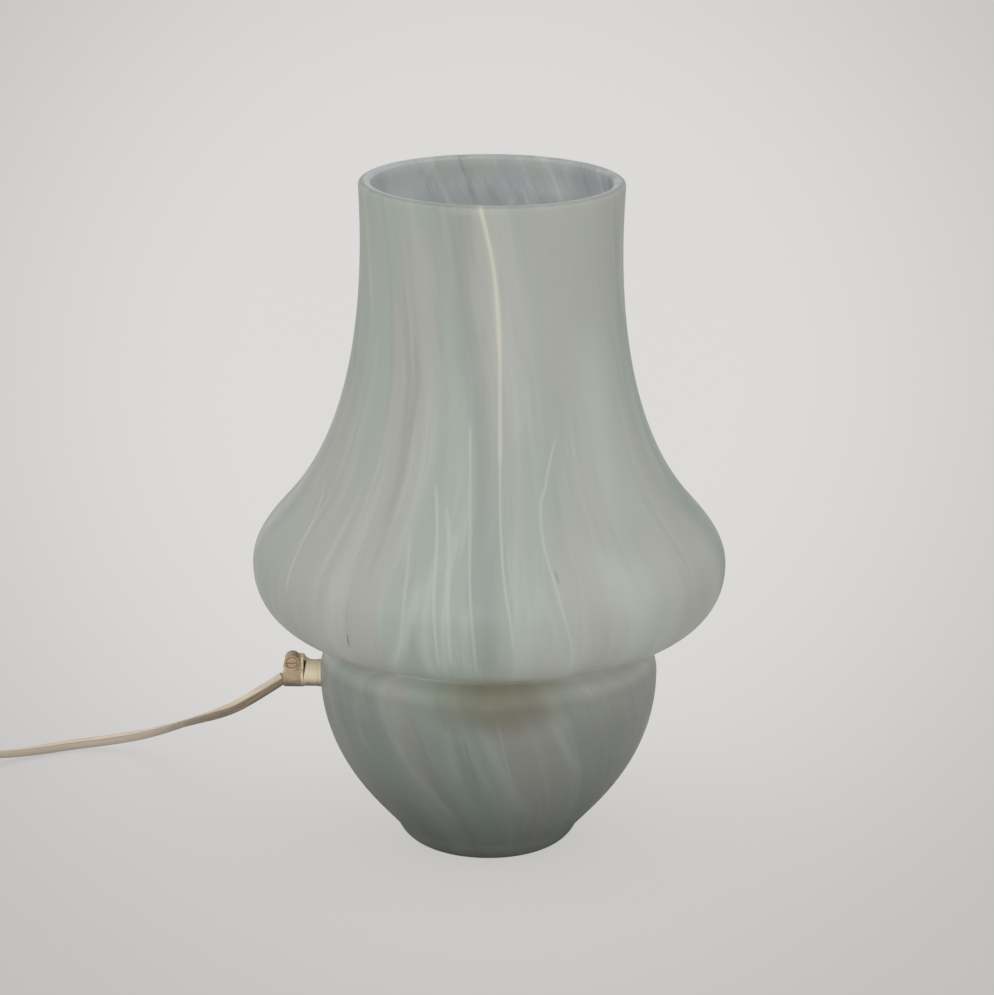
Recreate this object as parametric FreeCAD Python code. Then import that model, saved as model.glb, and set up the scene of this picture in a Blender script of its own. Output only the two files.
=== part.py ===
import FreeCAD, Part
import math
import os
from FreeCAD import Vector

# Mushroom table lamp: one blown glass body that is base, shade and chimney in
# one, a side-entry flex with a cord grip, and a lampholder on a bracket inside.
# Millimetres.  +Z is up, the origin is the middle of the foot on the table, and
# the flex leaves the lamp towards -X.

# ---------------------------------------------------------------- glass body
WALL = 3.6                  # thickness of the blown glass
FOOT_THICK = 6.0            # the glass is thicker at the ground foot
FOOT_RADIUS = 30.5          # flat ring that stands on the table
PUNT_RADIUS = 22.0          # shallow hollow ground into the foot
PUNT_DEPTH = 1.2
FOOT_HEADING = 22.0         # degrees, how the outline leaves the foot ring
HEEL_HEADING = 66.0         # and how it arrives at the crease
CREASE_RADIUS = 40.5        # where the rounded foot meets the bowl
CREASE_Z = 9.5
CREASE_HEADING = 50.0       # how the bowl leaves the crease
FLOOR_SHARE = 0.62          # flat inner floor, as a share of the crease radius
BASE_RADIUS = 75.2          # widest ring of the base
BASE_Z = 79.0
WAIST_RADIUS = 58.0         # bottom of the fold between base and shade
WAIST_Z = 92.3
WAIST_ROUND = 2.2           # radius of that fold on the outside
SHADE_RADIUS = 105.0        # widest ring of the shade
SHADE_Z = 129.8
FLANK_RADIUS = 87.4         # where the shade's round turns into the chimney's flare
FLANK_Z = 160.3
FLANK_HEADING = 128.7
CHIMNEY_RADIUS = 57.6       # narrowest ring of the chimney
CHIMNEY_Z = 275.0
RIM_RADIUS = 58.4
RIM_Z = 302.0
RIM_WALL_SHARE = 1.5        # the fire-rounded lip, in walls
RIM_HEADING = 87.0

# ------------------------------------------------- outlet in the base's side
OUTLET_Z = 76.5             # axis of the side hole
THREAD_RADIUS = 5.0         # M10x1 tube thread, crest radius
TUBE_BORE_RADIUS = 3.5      # bore of the threaded tubes
HOLE_CLEARANCE = 0.4        # side hole over the threaded tube
OUTER_WASHER_RADIUS = 6.2
OUTER_WASHER_THICK = 1.0
INNER_WASHER_RADIUS = 9.0
INNER_WASHER_THICK = 2.5
NUT_FLATS = 14.0            # M10x1 lock nuts, across the flats
NUT_THICK = 3.0
TUBE_BEYOND_NUT = 1.5       # thread that shows past each nut

# ---------------------------------------------------------------- cord grip
GRIP_RADIUS = 6.0
GRIP_LENGTH = 15.6
GRIP_THREAD_DEPTH = 4.0     # how far the threaded tube screws into the grip
GRIP_SLOT_FROM_WASHER = 5.3
GRIP_SLOT_WIDTH = 1.3
GRIP_SLOT_DEPTH = 8.0
GRIP_LEDGE_ABOVE_AXIS = 1.2
GRIP_FRONT = 5.0            # flat front face, from the axis
BOSS_RADIUS = 3.7
BOSS_ABOVE_AXIS = 6.3
BOSS_FROM_END = 4.0
BOSS_FRONT = 3.6
BOSS_BACK = 4.4
GRIP_SCREW_RADIUS = 1.5
GRIP_SCREW_HEAD_RADIUS = 2.5
GRIP_SCREW_HEAD_THICK = 1.6
GRIP_SCREW_RECESS = 0.9     # head lies this deep in the boss
GRIP_SCREW_SHORT = 0.6      # the screw stops this far inside the boss's back
GRIP_NUT_Y = 1.0            # the nut lies behind the flex, in the slot's wall
GRIP_NUT_BELOW_BOSS = 1.2
GRIP_NUT_FLATS = 4.6
GRIP_NUT_THICK = 2.2
GRIP_EAR_WALL = 0.9         # plastic round that nut
GRIP_MOUTH_DEPTH = 2.5      # the channel flares out at the end face
GRIP_MOUTH_FLARE = 0.7
CORD_DROP = 2.5             # the clamp presses the flex below the axis

# ------------------------------------------------------ bracket and lampholder
STRIP_WIDTH = 15.0
STRIP_THICK = 1.5
STRIP_BEND = 2.0            # inner radius of each bend
STRIP_TOP_ABOVE_OUTLET = 8.5
STRIP_KNEE_BELOW_OUTLET = 10.5
STRIP_SLANT_RUN = 20.0      # how far the slanted part reaches inwards
SEAT_Z = 47.5               # top face of the bracket, where the lampholder sits
STRIP_PAST_CENTRE = 10.0
HOLDER_RADIUS = 19.8
HOLDER_WALL = 2.2
CAP_FOOT_RADIUS = 9.5
CAP_HEIGHT = 19.0
HOLDER_HEIGHT = 57.0
CAP_LAP = 5.0               # skirt overlaps the cap's spigot by this much
SKIRT_STEP = 0.7            # the skirt is this much slimmer above its ring
SKIRT_ROUND = 1.0
TUBE_IN_CAP = 8.0           # how far the threaded tube screws into the cap
CORE_RADIUS = 16.4
CORE_HEIGHT = 10.0
CORE_FLOOR = 15.0           # above the bracket
SLEEVE_RADIUS = 13.9
SLEEVE_WALL = 0.5
SLEEVE_HEIGHT = 21.0
CONTACT_WIDTH = 7.0
CONTACT_THICK = 0.6
CONTACT_RISE = 4.0
TERMINAL_OFFSET = 11.5
TERMINAL_SCREW_RADIUS = 1.75
TERMINAL_SCREW_LENGTH = 6.0
TERMINAL_HEAD_RADIUS = 3.0
TERMINAL_HEAD_THICK = 1.8

# -------------------------------------------------------------------- bulb
BULB_RADIUS = 30.0
BULB_WALL = 0.9
BULB_LENGTH = 106.0
BULB_NECK_RADIUS = 13.9
BULB_CAP_RADIUS = 13.0
BULB_CAP_WALL = 0.3
BULB_CAP_HEIGHT = 22.0
BULB_INSULATOR_HEIGHT = 4.0
BULB_INSULATOR_RADIUS = 9.0
BULB_TIP_RADIUS = 4.6
BULB_TIP_HEIGHT = 1.5
BULB_GAP = 0.3              # bulb tip above the centre contact

# -------------------------------------------------------------------- flex
CORD_RADIUS = 2.7           # flat twin flex, half its width
CORD_CLEARANCE = 0.2
CORE_WIRE_RADIUS = 1.1
CORE_WIRE_PITCH = 2.5
CORD_LENGTH = 1800.0        # from the grip to the plug
COIL_PITCH = 5.9            # from turn to turn and from layer to layer
COIL_HALF_TURNS_IN = 7
COIL_HALF_TURNS_OUT = 6
COIL_STRAIGHT = 2 * CORD_RADIUS
CORD_END_RUNS = (27.0, 8.0, 6.0)    # over the outer turn and down to the plug

# ------------------------------------------------------------------- switch
SWITCH_LENGTH = 58.0
SWITCH_WIDTH = 24.0
SWITCH_SPLIT_Z = 7.0        # parting line, which is the flex's axis too
SWITCH_HEIGHT = 16.5
SWITCH_WALL = 1.8
SWITCH_CORNER = 8.0
SWITCH_EDGE = 1.6
SWITCH_END_WALL = 7.0
SWITCH_SOCKET = 4.5         # how deep the flex seats in each end
SWITCH_CENTRE = Vector(-276.0, 68.0, 0.0)
SWITCH_HEADING = 208.0      # degrees, from lamp side to plug side
SWITCH_SCREW_RADIUS = 1.3
SWITCH_SCREW_HEAD_RADIUS = 2.6
SWITCH_SCREW_HEAD_THICK = 1.4
SWITCH_SCREW_RECESS = 0.4
SWITCH_SCREW_LENGTH = 12.0
SCREW_GROOVE = 0.7          # width and depth of a screwdriver slot
SWITCH_SCREW_X = 17.0
SWITCH_SCREW_Y = 7.6
SWITCH_POST_RADIUS = 2.9
ROCKER_LENGTH = 16.0
ROCKER_WIDTH = 9.0
ROCKER_CLEARANCE = 0.5      # beside the rocker
ROCKER_END_CLEARANCE = 1.1  # its ends swing out as it tilts
ROCKER_TILT = 8.0           # degrees each side of level
ROCKER_RISE = 2.6           # top of the level rocker above the cover
ROCKER_PIVOT_Z = 12.0
ROCKER_PIN_RADIUS = 1.2
ROCKER_PIN_LENGTH = 1.6
ROCKER_PIN_CLEARANCE = 0.06
BEARING_DROP = 2.6          # bearing ears below the pivot
TERMINAL_BLOCK = Vector(6.0, 5.0, 6.6)
TERMINAL_BLOCK_X = 10.0
TERMINAL_BLOCK_Y = 3.0
TONGUE_WIDTH = 2.4
BRIDGE_LENGTH = 11.0
BRIDGE_WIDTH = 4.0
BRIDGE_THICK = 0.5
ROCKER_KEEL = 1.8           # the rocker's underside below its pivot
ROCKER_DISH = 1.3           # how deep its top is dished
ROCKER_ROUND = 0.7

# --------------------------------------------------------------------- plug
PLUG_LENGTH = 36.0
PLUG_WIDTH = 35.0
PLUG_TAIL_WIDTH = 14.0
PLUG_HEIGHT = 14.0
PLUG_SHOULDER = 21.0        # from the tail to where the full width is reached
PLUG_EDGE = 2.0
PLUG_RELIEF_LENGTH = 22.0
PLUG_RELIEF_BIG = 5.2
PLUG_RELIEF_SMALL = 3.6
PLUG_RELIEF_RINGS = 4
PLUG_RING_WIDTH = 1.4
PLUG_RING_DEPTH = 0.6
PIN_RADIUS = 2.0
PIN_ROOT_RADIUS = 1.4       # the thinner tang that the body holds
PIN_LENGTH = 19.0
PIN_SPACING = 18.6
PIN_ROOT = 8.0              # length held in the plug's body

# The flex's route from the grip to the switch, chosen along the photographed
# line: it swings back behind the lamp's side while it drops to the table.
LEAD_POINTS = [
    (-102.2, 1.5, 66.5), (-113.5, 8.0, 57.5), (-124.5, 25.0, 48.0), (-134.0, 48.0, 38.0),
    (-143.5, 72.0, 27.5), (-153.5, 94.0, 17.5), (-166.0, 109.5, 9.5), (-182.0, 117.0, 4.4),
    (-199.0, 115.0, 2.7), (-213.5, 106.5, 2.7), (-228.0, 96.0, 4.4),
]
# From the switch round to the coil, which lies just past it.
TAIL_POINTS = [
    (-323.0, 40.5, 4.0), (-331.5, 23.5, 2.7), (-335.0, 3.0, 2.7), (-333.0, -19.0, 2.7),
]
COIL_START = Vector(-333.0, -46.0, CORD_RADIUS)
# Inside the lamp: first from the inner end of the outlet's threaded tube, then
# round the bracket and up into the lampholder.
OUTLET_LEAD_POINTS = [(1.1, 0.0, 0.0), (14.1, 5.0, -0.5), (25.1, 16.0, -6.5)]
HOLDER_LEAD_POINTS = [
    (-31.0, 27.0, 58.0), (-28.0, 33.0, 42.0), (-28.0, 33.0, 24.0), (-19.8, 23.3, 11.4),
    (-8.3, 9.8, 11.4), (0.0, 0.0, 24.0),
]

UP = Vector(0, 0, 1)
LEFT = Vector(-1, 0, 0)
ORIGIN = Vector(0, 0, 0)
PARTS = {}


# ------------------------------------------------------------------ helpers
def rod(radius, length, base, axis=UP):
    """A solid cylinder."""
    return Part.makeCylinder(radius, length, base, axis)


def tube(outer, inner, length, base, axis=UP):
    """A cylinder with a bore."""
    return rod(outer, length, base, axis).cut(rod(inner, length, base, axis))


def hexagon(flats, thick, base, axis=UP):
    """A hexagonal prism."""
    turn = FreeCAD.Rotation(UP, axis)
    corners = []
    for side in range(7):
        angle = math.radians(60 * side)
        spot = Vector(math.cos(angle), math.sin(angle), 0) * (flats / math.sqrt(3))
        corners.append(base + turn.multVec(spot))
    return Part.Face(Part.makePolygon(corners)).extrude(axis * thick)


def centred_box(length, width, height, centre_x=0.0, centre_y=0.0, low_z=0.0):
    """A box by its middle in plan and its underside."""
    corner = Vector(centre_x - length / 2, centre_y - width / 2, low_z)
    return Part.makeBox(length, width, height, corner)


def fused(shapes):
    """One solid from overlapping or touching ones."""
    return shapes[0].multiFuse(shapes[1:]).removeSplitter()


def revolved(edges):
    """A turned solid from edges that close a loop in the XZ plane."""
    return Part.Face(Part.Wire(edges)).revolve(ORIGIN, UP, 360)


def line(start, end):
    return Part.LineSegment(start, end).toShape()


def flat_point(radius, z):
    """A point of a turned outline."""
    return Vector(radius, 0, z)


def heading(angle):
    """The direction at an angle from outwards, in the outline's plane."""
    return Vector(math.cos(math.radians(angle)), 0, math.sin(math.radians(angle)))


def sweep_curve(start, start_angle, end, end_angle, start_pull, end_pull):
    """A smooth curve that leaves and arrives at the given angles."""
    chord = (end - start).Length
    curve = Part.BezierCurve()
    leave = start + heading(start_angle) * (chord * start_pull)
    arrive = end - heading(end_angle) * (chord * end_pull)
    curve.setPoles([start, leave, arrive, end])
    return curve.toShape()


def rounded_path(points, arc_share=0.45, bend_radius=None):
    """Straight runs joined by tangent arcs, with the arcs' radii."""
    edges = []
    radii = []
    start = points[0]
    for before, corner, after in zip(points, points[1:], points[2:]):
        arriving = corner - before
        leaving = after - corner
        half_turn = arriving.getAngle(leaving) / 2
        reach = arc_share * min(arriving.Length, leaving.Length)
        if bend_radius:
            reach = bend_radius * math.tan(half_turn)
        radius = reach / math.tan(half_turn)
        arriving.normalize()
        leaving.normalize()
        inwards = (leaving - arriving).normalize()
        first = corner - arriving * reach
        last = corner + leaving * reach
        middle = corner + inwards * (radius / math.cos(half_turn) - radius)
        edges.append(line(start, first))
        edges.append(Part.Arc(first, middle, last).toShape())
        radii.append(radius)
        start = last
    edges.append(line(start, points[-1]))
    return edges, radii


def swept(edges, radius):
    """A round tube along a chain of edges."""
    path = Part.Wire(edges)
    first = path.Edges[0]
    direction = first.tangentAt(first.FirstParameter)
    section = Part.Wire(Part.Circle(first.valueAt(first.FirstParameter), direction, radius).toShape())
    return path.makePipeShell([section], True, False)


def flex(name, points):
    """A free stretch of flex through its chosen points; returns its length."""
    edges, radii = rounded_path([Vector(*point) for point in points])
    solid = swept(edges, CORD_RADIUS)
    length = sum(edge.Length for edge in edges)
    share = solid.Volume / (math.pi * CORD_RADIUS ** 2 * length)
    print(name, "length", round(length, 1), "least bend", round(min(radii), 1),
          "radii", [round(bend) for bend in radii], "volume share", round(share, 4))
    PARTS[name] = solid
    return length


def place(shape, spot, degrees):
    """Turns a piece about +Z and carries it to its spot."""
    moved = shape.copy()
    moved.rotate(ORIGIN, UP, degrees)
    moved.translate(spot)
    return moved


def placed_point(point, spot, degrees):
    """Where place() puts a point."""
    return FreeCAD.Rotation(UP, degrees).multVec(point) + spot


# ---------------------------------------------------------------- glass body
def glass_edges(inset):
    """The glass outline from crease to rim, moved inwards by the inset."""
    def station(radius, z, angle):
        inwards = heading(angle + 90)
        return flat_point(radius, z) + inwards * inset

    crease = station(CREASE_RADIUS, CREASE_Z, CREASE_HEADING)
    base = station(BASE_RADIUS, BASE_Z, 90)
    fold_low = station(WAIST_RADIUS + WAIST_ROUND, WAIST_Z - WAIST_ROUND, 180)
    fold_mid = station(WAIST_RADIUS, WAIST_Z, 90)
    fold_high = station(WAIST_RADIUS + WAIST_ROUND, WAIST_Z + WAIST_ROUND, 0)
    shade = station(SHADE_RADIUS, SHADE_Z, 90)
    flank = station(FLANK_RADIUS, FLANK_Z, FLANK_HEADING)
    chimney = station(CHIMNEY_RADIUS, CHIMNEY_Z, 90)
    inset *= RIM_WALL_SHARE
    rim = station(RIM_RADIUS, RIM_Z - WALL / 2, RIM_HEADING)
    return [
        sweep_curve(crease, CREASE_HEADING, base, 90, 0.17, 0.49),
        sweep_curve(base, 90, fold_low, 180, 0.62, 0.45),
        Part.Arc(fold_low, fold_mid, fold_high).toShape(),
        sweep_curve(fold_high, 0, shade, 90, 0.22, 0.5),
        sweep_curve(shade, 90, flank, FLANK_HEADING, 0.36, 0.32),
        sweep_curve(flank, FLANK_HEADING, chimney, 90, 0.33, 0.32),
        sweep_curve(chimney, 90, rim, RIM_HEADING, 0.33, 0.33),
    ]


def end_point(edge):
    return edge.valueAt(edge.LastParameter)


def start_point(edge):
    return edge.valueAt(edge.FirstParameter)


def glass_cavity():
    """The space inside the glass, closed by a flat lid at the rim."""
    inner = glass_edges(WALL)
    floor_edge = flat_point(CREASE_RADIUS * FLOOR_SHARE, FOOT_THICK)
    floor_middle = flat_point(0, FOOT_THICK)
    top = end_point(inner[-1])
    top_middle = flat_point(0, top.z)
    edges = [
        line(floor_middle, floor_edge),
        sweep_curve(floor_edge, 0, start_point(inner[0]), CREASE_HEADING, 0.45, 0.3),
        *inner,
        line(top, top_middle),
        line(top_middle, floor_middle),
    ]
    return revolved(edges)


def make_glass(cavity):
    """The blown glass, kept as three rings that meet at the waist and the flank."""
    outer = glass_edges(0)
    foot = flat_point(FOOT_RADIUS, 0)
    top = end_point(outer[-1])
    inner_top = end_point(glass_edges(WALL)[-1])
    crest = (top + inner_top) * 0.5 + UP * (WALL / 2)
    body = revolved([
        line(ORIGIN, foot),
        sweep_curve(foot, FOOT_HEADING, start_point(outer[0]), HEEL_HEADING, 0.4, 0.35),
        *outer,
        Part.Arc(top, crest, inner_top).toShape(),
        line(inner_top, flat_point(0, inner_top.z)),
        line(flat_point(0, inner_top.z), ORIGIN),
    ])
    punt = Part.makeCone(PUNT_RADIUS, PUNT_RADIUS - 2 * PUNT_DEPTH, PUNT_DEPTH)
    hole_radius = THREAD_RADIUS + HOLE_CLEARANCE
    hole = rod(hole_radius, BASE_RADIUS, Vector(-WAIST_RADIUS, 0, OUTLET_Z), LEFT)
    shell = body.cut(cavity).cut(punt).cut(hole)
    levels = [-1, WAIST_Z, SHADE_Z, FLANK_Z, RIM_Z + 1]
    rings = ("glass_bowl", "glass_brim", "glass_shade", "glass_chimney")
    for name, low, high in zip(rings, levels, levels[1:]):
        slab = centred_box(3 * SHADE_RADIUS, 3 * SHADE_RADIUS, high - low, 0, 0, low)
        PARTS[name] = shell.common(slab)
    return body


# ------------------------------------------------------------------- outlet
WASHER_OUT_X = -(BASE_RADIUS + OUTER_WASHER_THICK)
WASHER_IN_X = -(BASE_RADIUS - WALL - INNER_WASHER_THICK)
STRIP_IN_X = WASHER_IN_X + STRIP_THICK
OUTLET_NUT_X = STRIP_IN_X + NUT_THICK
GRIP_END_X = WASHER_OUT_X - GRIP_LENGTH
TUBE_IN_X = OUTLET_NUT_X + TUBE_BEYOND_NUT


def make_outlet(glass_solid, cavity):
    """Threaded tube through the side of the base, with its washers and nut."""
    def on_axis(x):
        return Vector(x, 0, OUTLET_Z)

    outer = tube(OUTER_WASHER_RADIUS, THREAD_RADIUS, 3 * OUTER_WASHER_THICK,
                 on_axis(WASHER_OUT_X + 3 * OUTER_WASHER_THICK), LEFT)
    PARTS["outer_washer"] = outer.cut(glass_solid)
    inner = tube(INNER_WASHER_RADIUS, THREAD_RADIUS, 2 * INNER_WASHER_THICK, on_axis(WASHER_IN_X), LEFT)
    PARTS["inner_washer"] = inner.common(cavity)
    tube_length = TUBE_IN_X - WASHER_OUT_X + GRIP_THREAD_DEPTH
    PARTS["outlet_tube"] = tube(THREAD_RADIUS, TUBE_BORE_RADIUS, tube_length, on_axis(TUBE_IN_X), LEFT)
    nut = hexagon(NUT_FLATS, NUT_THICK, on_axis(OUTLET_NUT_X), LEFT)
    PARTS["outlet_nut"] = nut.cut(rod(THREAD_RADIUS, NUT_THICK, on_axis(OUTLET_NUT_X), LEFT))


# ---------------------------------------------------------------- cord grip
EXIT = Vector(GRIP_END_X, 0, OUTLET_Z - CORD_DROP)
BOSS_X = GRIP_END_X + BOSS_FROM_END
BOSS_Z = OUTLET_Z + BOSS_ABOVE_AXIS


def make_grip():
    """Plastic cord grip: a threaded barrel, a slotted jaw and its clamp screw."""
    barrel = rod(GRIP_RADIUS, GRIP_LENGTH, Vector(WASHER_OUT_X, 0, OUTLET_Z), LEFT)
    slot_x = WASHER_OUT_X - GRIP_SLOT_FROM_WASHER
    jaw_length = slot_x - GRIP_SLOT_WIDTH - GRIP_END_X
    jaw_middle = GRIP_END_X + jaw_length / 2
    foot = centred_box(jaw_length, 2 * GRIP_RADIUS, GRIP_RADIUS + GRIP_LEDGE_ABOVE_AXIS, jaw_middle, 0,
                       OUTLET_Z - GRIP_RADIUS)
    lower_edges = [edge for edge in foot.Edges
                   if abs(edge.CenterOfMass.z - foot.BoundBox.ZMin) < 0.01 and edge.Length > jaw_length - 0.1
                   and abs(edge.CenterOfMass.y) > GRIP_RADIUS - 0.1]
    foot = foot.makeFillet(0.6 * GRIP_RADIUS, lower_edges)
    ledge_z = OUTLET_Z + GRIP_LEDGE_ABOVE_AXIS
    web = centred_box(jaw_length, BOSS_FRONT + BOSS_BACK, BOSS_Z - ledge_z, jaw_middle,
                      (BOSS_BACK - BOSS_FRONT) / 2, ledge_z)
    boss = rod(BOSS_RADIUS, BOSS_FRONT + BOSS_BACK, Vector(BOSS_X, -BOSS_FRONT, BOSS_Z), Vector(0, 1, 0))
    nut_start = Vector(slot_x - GRIP_SLOT_WIDTH, GRIP_NUT_Y, BOSS_Z - GRIP_NUT_BELOW_BOSS)
    ear = rod(GRIP_NUT_FLATS / 2 + GRIP_EAR_WALL, jaw_length / 2, nut_start, LEFT)
    shoulder_cut = centred_box(jaw_length, 4 * GRIP_RADIUS, 2 * BOSS_RADIUS, jaw_middle, 0, BOSS_Z)
    web = web.cut(shoulder_cut.cut(boss))
    jaw = fused([foot, web, boss, ear])
    front_cut = centred_box(jaw_length, GRIP_RADIUS, 4 * GRIP_RADIUS, jaw_middle,
                            -GRIP_FRONT - GRIP_RADIUS / 2, OUTLET_Z - 2 * GRIP_RADIUS)
    slot = centred_box(GRIP_SLOT_WIDTH, 4 * GRIP_RADIUS, GRIP_SLOT_DEPTH, slot_x - GRIP_SLOT_WIDTH / 2, 0,
                       OUTLET_Z + GRIP_RADIUS - GRIP_SLOT_DEPTH)
    jaw_space = centred_box(jaw_length, 4 * GRIP_RADIUS, 4 * GRIP_RADIUS, jaw_middle, 0, OUTLET_Z - 2 * GRIP_RADIUS)
    body = fused([barrel.cut(jaw_space), jaw.cut(front_cut)]).cut(slot)

    thread = rod(THREAD_RADIUS, GRIP_THREAD_DEPTH, Vector(WASHER_OUT_X, 0, OUTLET_Z), LEFT)
    channel_start = Vector(WASHER_OUT_X - GRIP_THREAD_DEPTH + 1, 0, OUTLET_Z)
    along = EXIT - channel_start
    channel_radius = CORD_RADIUS + CORD_CLEARANCE
    channel = rod(channel_radius, along.Length + 2, channel_start, along)
    mouth = Part.makeCone(channel_radius + GRIP_MOUTH_FLARE, channel_radius, GRIP_MOUTH_DEPTH, EXIT, Vector(1, 0, 0))
    screw_axis = Vector(0, 1, 0)
    screw_front = Vector(BOSS_X, -BOSS_FRONT + GRIP_SCREW_RECESS, BOSS_Z)
    screw_length = BOSS_FRONT + BOSS_BACK - GRIP_SCREW_RECESS - GRIP_SCREW_HEAD_THICK - GRIP_SCREW_SHORT
    head_seat = rod(GRIP_SCREW_HEAD_RADIUS, GRIP_SCREW_RECESS + GRIP_SCREW_HEAD_THICK,
                    Vector(BOSS_X, -BOSS_FRONT, BOSS_Z), screw_axis)
    shank_start = screw_front + screw_axis * GRIP_SCREW_HEAD_THICK
    shank = rod(GRIP_SCREW_RADIUS, screw_length, shank_start, screw_axis)
    nut = hexagon(GRIP_NUT_FLATS, GRIP_NUT_THICK, nut_start, LEFT)
    PARTS["cord_grip"] = body.cut(thread).cut(channel).cut(mouth).cut(head_seat).cut(shank).cut(nut)
    groove = centred_box(2 * GRIP_SCREW_HEAD_RADIUS, SCREW_GROOVE, SCREW_GROOVE, BOSS_X,
                         screw_front.y + SCREW_GROOVE / 2, BOSS_Z - SCREW_GROOVE / 2)
    head = rod(GRIP_SCREW_HEAD_RADIUS, GRIP_SCREW_HEAD_THICK, screw_front, screw_axis)
    PARTS["cord_grip_screw"] = fused([head.cut(groove), shank])
    PARTS["cord_grip_nut"] = nut


# ------------------------------------------------------ bracket and lampholder
SEAT_UNDER_Z = SEAT_Z - STRIP_THICK
HOLDER_TOP_Z = SEAT_Z + HOLDER_HEIGHT
HOLDER_NUT_Z = SEAT_UNDER_Z - NUT_THICK
CORE_Z = SEAT_Z + CORE_FLOOR
CORE_TOP_Z = CORE_Z + CORE_HEIGHT
TUBE_TOP_Z = SEAT_Z + TUBE_IN_CAP
TUBE_LOW_Z = HOLDER_NUT_Z - TUBE_BEYOND_NUT
CONTACT_TOP_Z = CORE_TOP_Z + CONTACT_RISE


def make_bracket():
    """Cranked steel strip from the outlet to the seat under the lampholder."""
    knee_z = OUTLET_Z - STRIP_KNEE_BELOW_OUTLET
    outer_points = [
        Vector(WASHER_IN_X, 0, OUTLET_Z + STRIP_TOP_ABOVE_OUTLET),
        Vector(WASHER_IN_X, 0, knee_z),
        Vector(WASHER_IN_X + STRIP_SLANT_RUN, 0, SEAT_UNDER_Z),
        Vector(STRIP_PAST_CENTRE, 0, SEAT_UNDER_Z),
    ]
    slant = math.atan2(knee_z - SEAT_UNDER_Z, STRIP_SLANT_RUN)
    knee_up = STRIP_THICK * math.tan((math.pi / 2 - slant) / 2)
    elbow_in = STRIP_THICK * math.tan(slant / 2)
    inner_points = [
        outer_points[0] + Vector(STRIP_THICK, 0, 0),
        outer_points[1] + Vector(STRIP_THICK, 0, knee_up),
        outer_points[2] + Vector(elbow_in, 0, STRIP_THICK),
        outer_points[3] + Vector(0, 0, STRIP_THICK),
    ]
    outer_edges = rounded_path(outer_points, bend_radius=STRIP_BEND + STRIP_THICK)[0]
    inner_edges = rounded_path(inner_points, bend_radius=STRIP_BEND)[0]
    closing = [line(outer_points[3], inner_points[3]), line(inner_points[0], outer_points[0])]
    outline = Part.Wire(Part.__sortEdges__(outer_edges + inner_edges + closing))
    strip = Part.Face(outline).extrude(Vector(0, STRIP_WIDTH, 0))
    strip.translate(Vector(0, -STRIP_WIDTH / 2, 0))
    outlet_hole = rod(THREAD_RADIUS, 3 * STRIP_THICK, Vector(STRIP_IN_X + STRIP_THICK, 0, OUTLET_Z), LEFT)
    seat_hole = rod(THREAD_RADIUS, 3 * STRIP_THICK, Vector(0, 0, SEAT_UNDER_Z - STRIP_THICK))
    end_round = centred_box(STRIP_WIDTH, STRIP_WIDTH, 3 * STRIP_THICK, STRIP_PAST_CENTRE, 0,
                            SEAT_UNDER_Z - STRIP_THICK)
    end_round = end_round.cut(rod(STRIP_PAST_CENTRE, 3 * STRIP_THICK, Vector(0, 0, SEAT_UNDER_Z - STRIP_THICK)))
    PARTS["bracket"] = strip.cut(outlet_hole).cut(seat_hole).cut(end_round)
    PARTS["holder_tube"] = tube(THREAD_RADIUS, TUBE_BORE_RADIUS, TUBE_TOP_Z - TUBE_LOW_Z, Vector(0, 0, TUBE_LOW_Z))
    nut = hexagon(NUT_FLATS, NUT_THICK, Vector(0, 0, HOLDER_NUT_Z))
    PARTS["holder_nut"] = nut.cut(rod(THREAD_RADIUS, NUT_THICK, Vector(0, 0, HOLDER_NUT_Z)))


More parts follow.
